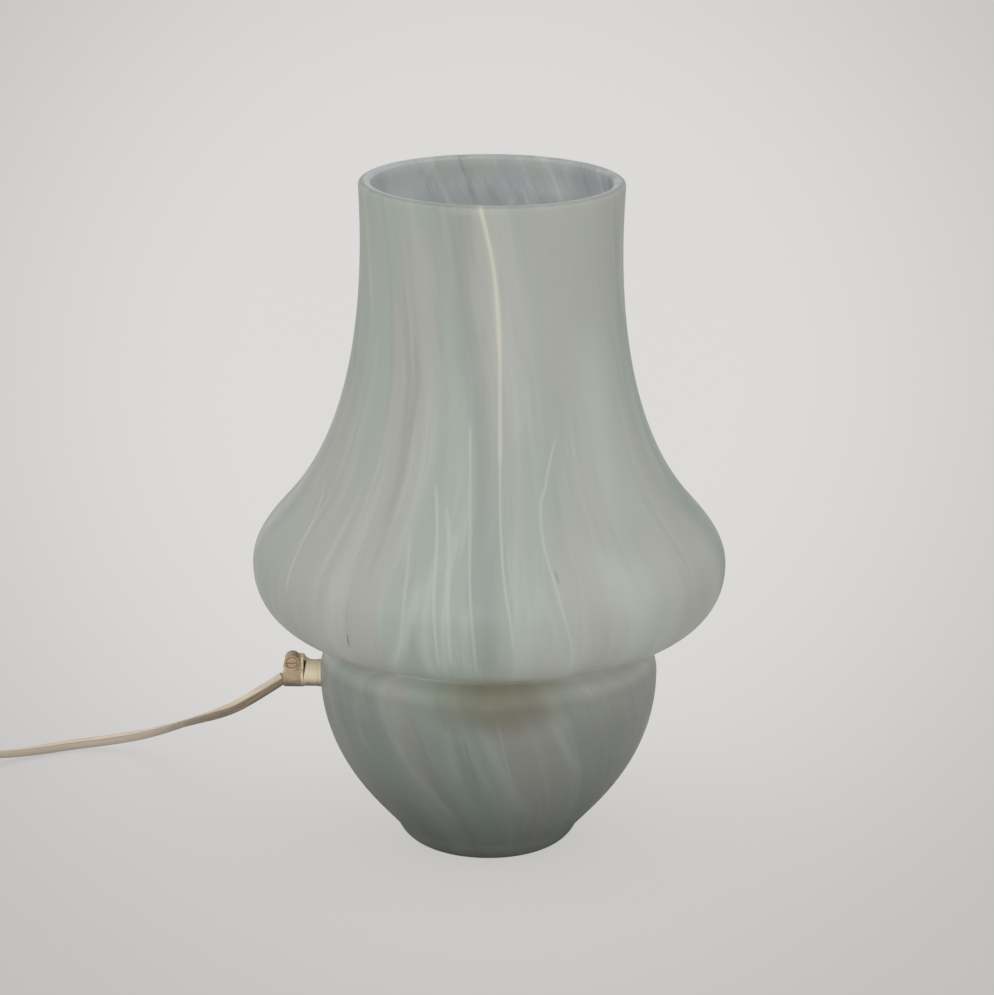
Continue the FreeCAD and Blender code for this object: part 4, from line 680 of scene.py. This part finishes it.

# %% [markdown]
# ## Lip, fold and satin surface
# The upper half of the lip gets painted shade, a little darker than the wall,
# against the light it catches from above. The fold has a faint painted glow, in
# place of light that a real wall would carry into it. The satin itself is a fine
# grain over a slow ripple, with a roughness that drifts.

# %% Lip, fold and surface
LIP_HEIGHTS = (0.3009, 0.3018)                               # m
FOLD_RADII, FOLD_FOOT, FOLD_TOP = (0.0560, 0.0575), (0.064, 0.088), (0.0955, 0.0935)
GLOW_HEIGHTS = (0.082, 0.0915)
# Painted shade on the upper half of the lip.
colour = satin.mix(satin.between(height, *LIP_HEIGHTS, 1.0, 0.80), BLACK, colour)
# Painted glow in the fold, in place of light carried through the wall.
glow = satin.times(satin.between(height, *FOLD_TOP), satin.between(radius, *FOLD_RADII),
                   satin.between(height, *FOLD_FOOT), satin.between(height, *GLOW_HEIGHTS, 0.17, 0.38))
satin.set(Emission_Strength=glow, Emission_Color=colour)
grain, ripple = satin.noise(900.0, 2.0), satin.noise(22.0, 2.0)
relief = satin.math("MULTIPLY_ADD", ripple, 6.0, grain)
satin.surface(colour, 45.0, (0.40, 0.54), satin.bump(relief, 0.00012, 0.35))
paint(satin.material, [glass])
print("milky glass:", len(THREADS), "threads,", len(satin.tree.nodes), "nodes")

# %% [markdown]
# ## Rolled screw threads
# The bulb's cap and the sleeve that takes it have the round thread of a 27 mm
# cap, 3.63 mm from turn to turn. It is too fine for the solids, so each gets a
# finer stand-in here: its outline is turned about the axis, and the radius then
# waves along the helix. The cap rides on the bulb.

# %% Threads
THREAD_PITCH = 0.003629
WALL_STEP = 0.36      # mm, from ring to ring of a threaded wall


def threaded_piece(name, outline, depth, low, high, closed=False):
    """A turned piece whose wall waves as a thread between two heights.

    At height z and angle a the radius gains depth cos(2 pi z / pitch - a), times
    a weight that rises from 0 at the low end, and at the high end, over one pitch.
    """
    piece = turned_piece(name, np.array(outline, float) / 1000, columns=96, closed=closed)
    points = np.empty(len(piece.data.vertices) * 3)
    piece.data.vertices.foreach_get("co", points)
    points = points.reshape(-1, 3)
    out = np.hypot(points[:, 0], points[:, 1])
    turn = np.arctan2(points[:, 1], points[:, 0])
    weight = np.clip(np.minimum(points[:, 2] - low, high - points[:, 2]) / THREAD_PITCH, 0, 1)
    gain = depth * weight * np.cos(2 * np.pi * points[:, 2] / THREAD_PITCH - turn)
    points[:, :2] *= (1 + gain / np.maximum(out, 0.001))[:, None]
    piece.data.vertices.foreach_set("co", points.ravel())
    piece.data.update()
    return piece


cap_outline = [(11.3, 82.4), (12.2, 82.7), *((12.8, up) for up in np.arange(83.4, 102.2, WALL_STEP)),
               (13.2, 102.8), (13.8, 103.2), (13.9, 103.8), (13.6, 104.25)]
bulb_cap = threaded_piece("threaded_bulb_cap", cap_outline, depth=0.00032, low=0.0832, high=0.1022)
stand_for(bulb_cap, "bulb_metal", "bulb_cap", body="bulb")
sleeve_heights = np.arange(73.2, 93.4, WALL_STEP)
sleeve_outline = [*((13.42, up) for up in sleeve_heights), (13.45, 93.45), (13.85, 93.45),
                  *((13.88, up) for up in sleeve_heights[::-1]), (16.4, 73.0), (16.4, 72.55), (13.4, 72.55)]
screw_sleeve = threaded_piece("threaded_sleeve", sleeve_outline[::-1], depth=0.00022, low=0.0735, high=0.0932,
                              closed=True)
stand_for(screw_sleeve, "brass", "screw_sleeve")

# %% [markdown]
# ## The flex in its colours
# The jacket is cream. Near the grip the core that hangs lower gets painted shade:
# brown that fades through tan to cream along the flex, and the groove between the
# cores gets a little painted shade too. The finish reads the flex's own two
# coordinates: the length travelled in metres, and the place across the two cores.

# %% Flex finish
# The browned stretch is painted shade on the lower core, which the upper core shades near the grip.
SHADE_TRAVEL, CREAM_TRAVEL = (0.055, 0.150), (0.200, 0.420)      # m, where the browned stretch ends
CORE_EDGE, GROOVE_EDGE = (0.64, 0.46), (0.10, 0.0)               # shares of the width
jacket = Finish("cream_flex", IOR=1.46, Specular_IOR_Level=0.35)
travel, place_across, _ = jacket.split(jacket.add("ShaderNodeTexCoord").outputs["UV"])
stretch = jacket.add("ShaderNodeCombineXYZ", X=jacket.times(travel, 60.0),
                     Y=jacket.times(place_across, 3.0)).outputs[0]
stains = jacket.noise(1.0, 4.0, 0.6, stretch)
cream = jacket.over((0.560, 0.470, 0.370), (0.700, 0.600, 0.490), stains, 0.35, 0.68)
# Painted shade: the lower core is brown near the grip, fades through tan and turns cream further on.
shaded_brown = jacket.over((0.175, 0.130, 0.085), (0.250, 0.190, 0.130), stains, 0.35, 0.65)
shaded_core = jacket.over(shaded_brown, (0.420, 0.350, 0.275), travel, *SHADE_TRAVEL)
shaded_core = jacket.over(shaded_core, cream, travel, *CREAM_TRAVEL)
jacket_colour = jacket.over(cream, shaded_core, place_across, *CORE_EDGE)
# Painted shade in the groove between the two cores.
from_middle = jacket.math("ABSOLUTE", jacket.math("SUBTRACT", place_across, 0.5))
jacket_colour = jacket.over(jacket_colour, (0.20, 0.15, 0.10), from_middle, *GROOVE_EDGE, 0.30)
grain = jacket.noise(1400.0, 2.0)
jacket.surface(jacket_colour, 160.0, (0.42, 0.60), jacket.bump(grain, 0.00005, 0.5))
paint(jacket.material, [flex])
print("flex finish:", len(jacket.tree.nodes), "nodes")

# %% [markdown]
# ## The moulded grip
# The grip is one moulding along the barrel's axis, so its surface is a row of
# cross-sections with the same count of points each: up the front from the
# bottom, and down the back. The slot that lets the jaw give is a wedge, wide at
# the top, and behind it an ear bridges to the barrel. The boss and the slotted
# screw in it are turned about the screw's axis.

# %% Grip sections
# Millimetres. Along is the way out from the washer, side is towards the back, and up is from the axis.
GRIP_X, GRIP_Z = -76.2, 76.5       # the barrel's end at the washer, and its axis
BARREL_RADIUS, SLOT_START, SLOT_WIDTH = 6.0, 5.3, 1.3
SLOT_DEPTH, EAR_TOP, EAR_END, WEB_TOP = 7.8, 7.9, 9.2, 4.2
EAR_SIDE = (0.5, 4.2)              # the ear's two edges
FRONT_JAW = (5.0, 2.4, 2.6)        # width, the web's width, the height where the web begins
BACK_JAW = (6.0, 4.4, 1.2)
CORNER_RADIUS, LEDGE, WEB_ROUNDING = 3.6, 1.2, 0.6
JAW_END, FLEX_HOLE = 15.6, (2.45, -2.5)
HALF_POINTS = 41


def both_sides(front, back):
    """A loop up the front half and down the back one."""
    return np.vstack([front * (-1, 1), back[-2:0:-1]])


def barrel_section(section_radius, middle=0.0):
    """A circle about a point on the middle line."""
    turn = np.radians(np.linspace(-90, 90, HALF_POINTS))
    half = np.stack([section_radius * np.cos(turn), middle + section_radius * np.sin(turn)], axis=1)
    return both_sides(half, half)


def slotted_section(share):
    """The barrel at a share of the slot's width: its front is cut down, its back rises to the ear."""
    side, up = barrel_section(BARREL_RADIUS).T
    floor_height = BARREL_RADIUS - SLOT_DEPTH * share
    ear_height = BARREL_RADIUS + (EAR_TOP - BARREL_RADIUS) * share
    up = np.where(side < EAR_SIDE[0], np.minimum(up, floor_height), up)
    under_ear = (side >= EAR_SIDE[0]) & (side < EAR_SIDE[1]) & (up > 0)
    return np.stack([side, np.where(under_ear, np.maximum(up, ear_height), up)], axis=1)


def jaw_half(width, web, web_foot, top):
    """From the bottom round the lower corner, up to the ledge, in over it and up the web."""
    turn = np.radians(np.linspace(-90, 0, 9))[:, None]
    corner_centre = (width - CORNER_RADIUS, CORNER_RADIUS - BARREL_RADIUS)
    corner = corner_centre + CORNER_RADIUS * np.hstack([np.cos(turn), np.sin(turn)])
    stops = [corner[-1], (width, LEDGE), (web, web_foot), (web, top - WEB_ROUNDING),
             (web - WEB_ROUNDING, top), (0.0, top)]
    lines = [np.linspace((0.0, -BARREL_RADIUS), corner[0], 4, endpoint=False), corner[:-1]]
    lines += [np.linspace(start, end, count, endpoint=False)
              for start, end, count in zip(stops, stops[1:], (7, 4, 10, 3, 4))]
    return np.vstack([*lines, [stops[-1]]])


def jaw_section(top, inset=0.0):
    """The jaw, drawn in by the inset towards a line 1 mm under the axis."""
    section = both_sides(jaw_half(*FRONT_JAW, top), jaw_half(*BACK_JAW, top))
    return (section - (0, -1)) * (1 - inset / BARREL_RADIUS) + (0, -1)


print("a grip section has", len(jaw_section(EAR_TOP)), "points")

# %% Grip body
stations = [(0.0, barrel_section(5.8))]
stations += [(along, barrel_section(BARREL_RADIUS)) for along in (0.25, 2.8)]
stations += [(SLOT_START + SLOT_WIDTH * share, slotted_section(share)) for share in np.linspace(0, 1, 7)]
stations += [(along, jaw_section(EAR_TOP)) for along in (SLOT_START + SLOT_WIDTH + 0.02, 7.4, 8.3, EAR_END)]
ROUNDED_END = [(EAR_END + 0.05, 0.0), (11.6, 0.0), (14.5, 0.0), (15.1, 0.15), (15.45, 0.5), (JAW_END, 1.1)]
stations += [(along, jaw_section(WEB_TOP, inset)) for along, inset in ROUNDED_END]
stations += [(JAW_END, barrel_section(*FLEX_HOLE)), (JAW_END - 0.8, barrel_section(2.3, FLEX_HOLE[1]))]
body_rows = [np.column_stack([np.full(len(section), GRIP_X - along), section[:, 0], GRIP_Z + section[:, 1]])
             for along, section in stations]
print("grip:", len(stations), "sections of", len(stations[0][1]), "points")

# %% Boss and screw
BOSS_CENTRE = (-87.8, 82.1)             # mm, x and z
HEAD_RADIUS, HALF_GAP = 2.45, 0.36      # mm, the screw's head and half of its slot's width


def along_screw(loops):
    """A closed form from loops of (x, z) about the screw's axis, each at its own depth along Y."""
    return closed_shell([np.column_stack([BOSS_CENTRE[0] + loop[:, 0], np.full(len(loop), depth),
                                          BOSS_CENTRE[1] + loop[:, 1]]) for depth, loop in loops])


def turned_about_screw(profile):
    """A closed form from a profile of (radius, depth) turned about the screw's axis."""
    turn = np.linspace(0, 2 * np.pi, 64, endpoint=False)
    circle = np.column_stack([np.cos(turn), np.sin(turn)])
    return along_screw([(depth, reach * circle) for reach, depth in profile])


def half_head(side):
    """Half of the slotted head: an arc and the edge of the slot, at three depths."""
    start = math.asin(HALF_GAP / HEAD_RADIUS)
    turn = np.linspace(start, np.pi - start, 33)
    edge = np.linspace(-1, 1, 15)[1:-1] * HEAD_RADIUS * math.cos(start)
    loop = np.vstack([np.column_stack([np.cos(turn), np.sin(turn)]) * HEAD_RADIUS,
                      np.column_stack([edge, np.full(len(edge), HALF_GAP)])]) * side
    middle = loop.mean(axis=0)
    return along_screw([(-3.0, loop), (-3.5, loop), (-3.7, middle + (loop - middle) * 0.86)])


print("screw head:", 2 * HEAD_RADIUS, "mm across")

# %% Grip and screw pieces
CREASE_DEGREES = 38


def joined_piece(name, shells):
    """Several closed forms as one piece, from millimetres."""
    points, faces, start = [], [], 0
    for shell_points, shell_faces in shells:
        points.append(shell_points)
        faces += [tuple(corner + start for corner in face) for face in shell_faces]
        start += len(shell_points)
    return mesh_object(name, np.vstack(points) / 1000, faces, CREASE_DEGREES)


# The boss, as (radius, depth): its back, its outer wall, a raised ring round the screw, and the screw's seat.
boss = turned_about_screw([(2.9, 4.4), (3.5, 3.9), (3.5, -3.5), (3.38, -3.8), (3.15, -3.9), (2.85, -3.85),
                           (2.7, -3.6), (2.65, -3.1), (0.6, -3.1)])
moulded_grip = joined_piece("moulded_grip", [closed_shell(body_rows), boss])
slotted_screw = joined_piece("slotted_screw", [half_head(1), half_head(-1)])
stand_for(moulded_grip, "beige_plastic", "cord_grip")
stand_for(slotted_screw, "brass", "cord_grip_screw")

# %% [markdown]
# ## Plastics, metals and porcelain
# The grip is aged beige plastic, with a painted highlight on the barrel next to
# the glass and on the ledge, and painted shade in the slot and in its lower
# corners. The other pieces are what such a lamp holds: a brown moulded lampholder
# round a porcelain core, brass and plated steel fittings, a pale switch, and a
# pale plug whose pins are sleeved next to it.
# Each colour drifts a little, has a grain of its own kind and an uneven gloss.

# %% Grip
# Places in metres between which one colour of the grip gives way to the next.
LEDGE_FOOT, LEDGE_TOP, SHADE_HEIGHTS = (0.0775, 0.0780), (0.0798, 0.0791), (0.0778, 0.0736)
BARREL_X, SLOT_OUTER_X, SLOT_INNER_X = (-0.0845, -0.0832), (-0.08288, -0.08276), (-0.08150, -0.08165)
SLOT_RADII = (0.0058, 0.0050)
grip = Finish("aged_beige_plastic", IOR=1.49, Specular_IOR_Level=0.4)
grip_x, _, grip_z = grip.split(grip.place)
mottle = grip.noise(210.0, 4.0, 0.6)
beige = grip.over((0.400, 0.290, 0.180), (0.500, 0.365, 0.235), mottle, 0.32, 0.68)
# Painted highlight along the ledge.
ledge_highlight = grip.times(grip.between(grip_z, *LEDGE_FOOT), grip.between(grip_z, *LEDGE_TOP), 0.8)
beige = grip.mix(ledge_highlight, beige, (0.680, 0.540, 0.370))
# Painted highlight on the barrel next to the glass.
beige = grip.over(beige, (0.800, 0.680, 0.480), grip_x, *BARREL_X)
off_axis = grip.vector("SUBTRACT", grip.place, (0.0, 0.0, GRIP_Z / 1000))
from_axis = grip.length(grip.vector("MULTIPLY", off_axis, (0.0, 1.0, 1.0)))
slot_shade = grip.times(grip.between(grip_x, *SLOT_OUTER_X), grip.between(grip_x, *SLOT_INNER_X),
                        grip.between(from_axis, *SLOT_RADII))
beige = grip.mix(slot_shade, beige, (0.130, 0.080, 0.040))
# Painted shade on the grip's underside, its edge made uneven by the mottle.
lowest = grip.math("MULTIPLY_ADD", mottle, 0.004, grip_z)
beige = grip.over(beige, (0.110, 0.080, 0.060), lowest, *SHADE_HEIGHTS, 0.85)
grip.surface(beige, 320.0, (0.40, 0.58), grip.bump(grip.noise(1100.0), 0.00006, 0.7))
paint(grip.material, ["cord_grip", "outer_washer", "cord_grip_screw", moulded_grip, slotted_screw])
print("grip finish:", len(grip.tree.nodes), "nodes")

# %% Hidden pieces
# Each finish has its pieces, a colour, how dark that drifts, the roughness from and to, the grain's scale and
# depth, and the shader's own values.
wear("brass", ["outlet_tube", "outlet_nut", "holder_tube", "holder_nut", "centre_contact", "terminal_screws",
               "switch_terminals", "cord_grip_nut", screw_sleeve],
     (0.63, 0.46, 0.20), 0.72, (0.22, 0.40), 900.0, 0.00002, Metallic=1.0)
wear("zinc_plated_steel", ["bracket", "switch_screws", "rocker_bridge"],
     (0.62, 0.62, 0.60), 0.80, (0.26, 0.44), 700.0, 0.00002, Metallic=1.0)
wear("grey_rubber", ["inner_washer"], (0.055, 0.055, 0.052), 0.70, (0.70, 0.85), 1300.0, 0.00006)
wear("brown_phenolic", ["holder_cap", "holder_skirt"],
     (0.060, 0.030, 0.018), 0.60, (0.24, 0.40), 600.0, 0.00002, spots=90.0, IOR=1.6)
wear("glazed_porcelain", ["holder_core"], (0.74, 0.73, 0.69), 0.90, (0.08, 0.20), 300.0, 0.00001, spots=40.0,
     Coat_Weight=0.6, Coat_Roughness=0.06)
wear("pale_switch_plastic", ["switch_base", "switch_cover", "plug_body"],
     (0.62, 0.57, 0.48), 0.92, (0.36, 0.50), 1500.0, 0.00004, IOR=1.5)
wear("brown_rocker_plastic", ["switch_rocker"],
     (0.115, 0.075, 0.050), 0.75, (0.30, 0.44), 1500.0, 0.00003, IOR=1.5)
wear("core_insulation", ["inner_lead", "inner_cores", "switch_cores"],
     (0.52, 0.47, 0.38), 0.85, (0.40, 0.55), 1200.0, 0.00003)
wear("opal_bulb_glass", ["bulb_globe"], (0.82, 0.82, 0.79), 0.97, (0.24, 0.34), 200.0, 0.00001, spots=25.0,
     Transmission_Weight=0.15, IOR=1.5)
wear("tinned_brass", ["bulb_tip", bulb_cap],
     (0.68, 0.66, 0.60), 0.80, (0.25, 0.42), 800.0, 0.00002, Metallic=1.0)
wear("black_cap_glass", ["bulb_insulator"],
     (0.020, 0.020, 0.024), 0.50, (0.10, 0.22), 400.0, 0.00001, IOR=1.52)
print("finishes so far:", len(bpy.data.materials))

# %% Plug pins, bare brass at the tips and sleeved next to the plug
SLEEVE_EDGE = (-0.1606, -0.1602)      # m, along Y
pins = Finish("sleeved_brass_pins", IOR=1.5)
sleeved = pins.between(pins.split(pins.place)[1], *SLEEVE_EDGE)
tarnish = pins.noise(300.0)
pin_metal = pins.over((0.45, 0.33, 0.15), (0.63, 0.46, 0.20), tarnish, 0.3, 0.7)
pin_sleeve = pins.over((0.030, 0.030, 0.029), (0.045, 0.045, 0.043), tarnish, 0.3, 0.7)
pins.surface(pins.mix(sleeved, pin_metal, pin_sleeve), 300.0, (0.24, 0.42),
             pins.bump(pins.noise(900.0, 2.0), 0.00002, 0.6))
pins.set(Metallic=pins.math("SUBTRACT", 1.0, sleeved))
paint(pins.material, ["plug_pins"])
print("pins:", len(pins.tree.nodes), "nodes")

# %% [markdown]
# ## Floor, light and air
# The floor is one pale plane. To the camera it is mostly a pale glow of its
# own, brightest behind the lamp and a little dimmer towards the corners, with
# a trace of soft shadow; for all other rays it is a plain grey board. Nearly
# all the light comes from the air itself, so that a colour renders about as it
# is written. One wide lamp overhead and a weak one by the camera shape the
# forms.

# %% Floor
FLOOR_CORNERS = [(-9, -5, 0), (9, -5, 0), (9, 14, 0), (-9, 14, 0)]
POOL_ABOVE = 0.0300                # how far the brightest place is above the middle of the view
POOL_RADII = (0.050, 0.180)        # where the glow starts to fall, and where it has fallen
GLOW_SHARE = 0.80
floor = mesh_object("studio_floor", FLOOR_CORNERS, [(0, 1, 2, 3)], sharp_degrees=40)
board = Finish("studio_floor", Roughness=0.9, Specular_IOR_Level=0.1, Base_Color=(0.72, 0.72, 0.70, 1))

# A point of the floor lies x to the side of the camera's photographed place and ahead in front of it. With
# the camera at the height h and looking down by the pitch p, the point's depth is ahead cos p + h sin p. It
# is seen x / depth to the side of the middle of the view, and (ahead sin p - h cos p) / depth above it.
spot = board.split(board.place)
cosine, sine = math.cos(CAMERA_PITCH), math.sin(CAMERA_PITCH)
ahead = board.math("SUBTRACT", spot[1], CAMERA_PLACE[1])
depth = board.math("MULTIPLY_ADD", ahead, cosine, CAMERA_PLACE[2] * sine)
above = board.math("MULTIPLY_ADD", ahead, sine, -CAMERA_PLACE[2] * cosine)
seen_x = board.math("DIVIDE", spot[0], depth)
seen_y = board.math("SUBTRACT", board.math("DIVIDE", above, depth), POOL_ABOVE)
away = board.length(board.add("ShaderNodeCombineXYZ", X=seen_x, Y=seen_y).outputs[0])
pool = board.over((0.735, 0.718, 0.709), (0.500, 0.488, 0.479), away, *POOL_RADII)
glow = board.add("ShaderNodeEmission", Color=pool).outputs[0]
mixed = board.add("ShaderNodeMixShader", i0=GLOW_SHARE, i1=board.shader.outputs[0], i2=glow).outputs[0]
rays = board.add("ShaderNodeLightPath").outputs
seen = board.math("MAXIMUM", rays["Is Camera Ray"], rays["Is Transmission Ray"])
both = board.add("ShaderNodeMixShader", i0=seen, i1=board.shader.outputs[0], i2=mixed).outputs[0]
board.tree.links.new(both, board.tree.nodes["Material Output"].inputs["Surface"])
paint(board.material, [floor])
print("floor:", len(board.tree.nodes), "nodes")

# %% Air and lights
AIM = (0, 0, 0.15)
AIR_COLOUR, AIR_STRENGTH = (0.98, 0.99, 1.0, 1), 0.82
world = bpy.data.worlds.new("studio_air")
world.use_nodes = True
world.node_tree.nodes["Background"].inputs["Color"].default_value = AIR_COLOUR
world.node_tree.nodes["Background"].inputs["Strength"].default_value = AIR_STRENGTH
bpy.context.scene.world = world


def soft_lamp(name, place, size, power):
    """A square area lamp that faces the middle of the lamp."""
    data = bpy.data.lights.new(name, "AREA")
    data.size, data.energy = size, power
    lamp = bpy.data.objects.new(name, data)
    lamp.location = place
    lamp.rotation_euler = (Vector(AIM) - Vector(place)).to_track_quat("-Z", "Y").to_euler()
    bpy.context.scene.collection.objects.link(lamp)


soft_lamp("overhead", place=(0.3, -0.5, 2.6), size=2.2, power=10)
soft_lamp("front_fill", place=(-0.5, -2.6, 0.7), size=1.4, power=18)
bpy.context.scene.view_settings.view_transform = "Standard"
print("air at", AIR_STRENGTH, "and", len(bpy.data.lights), "lamps")
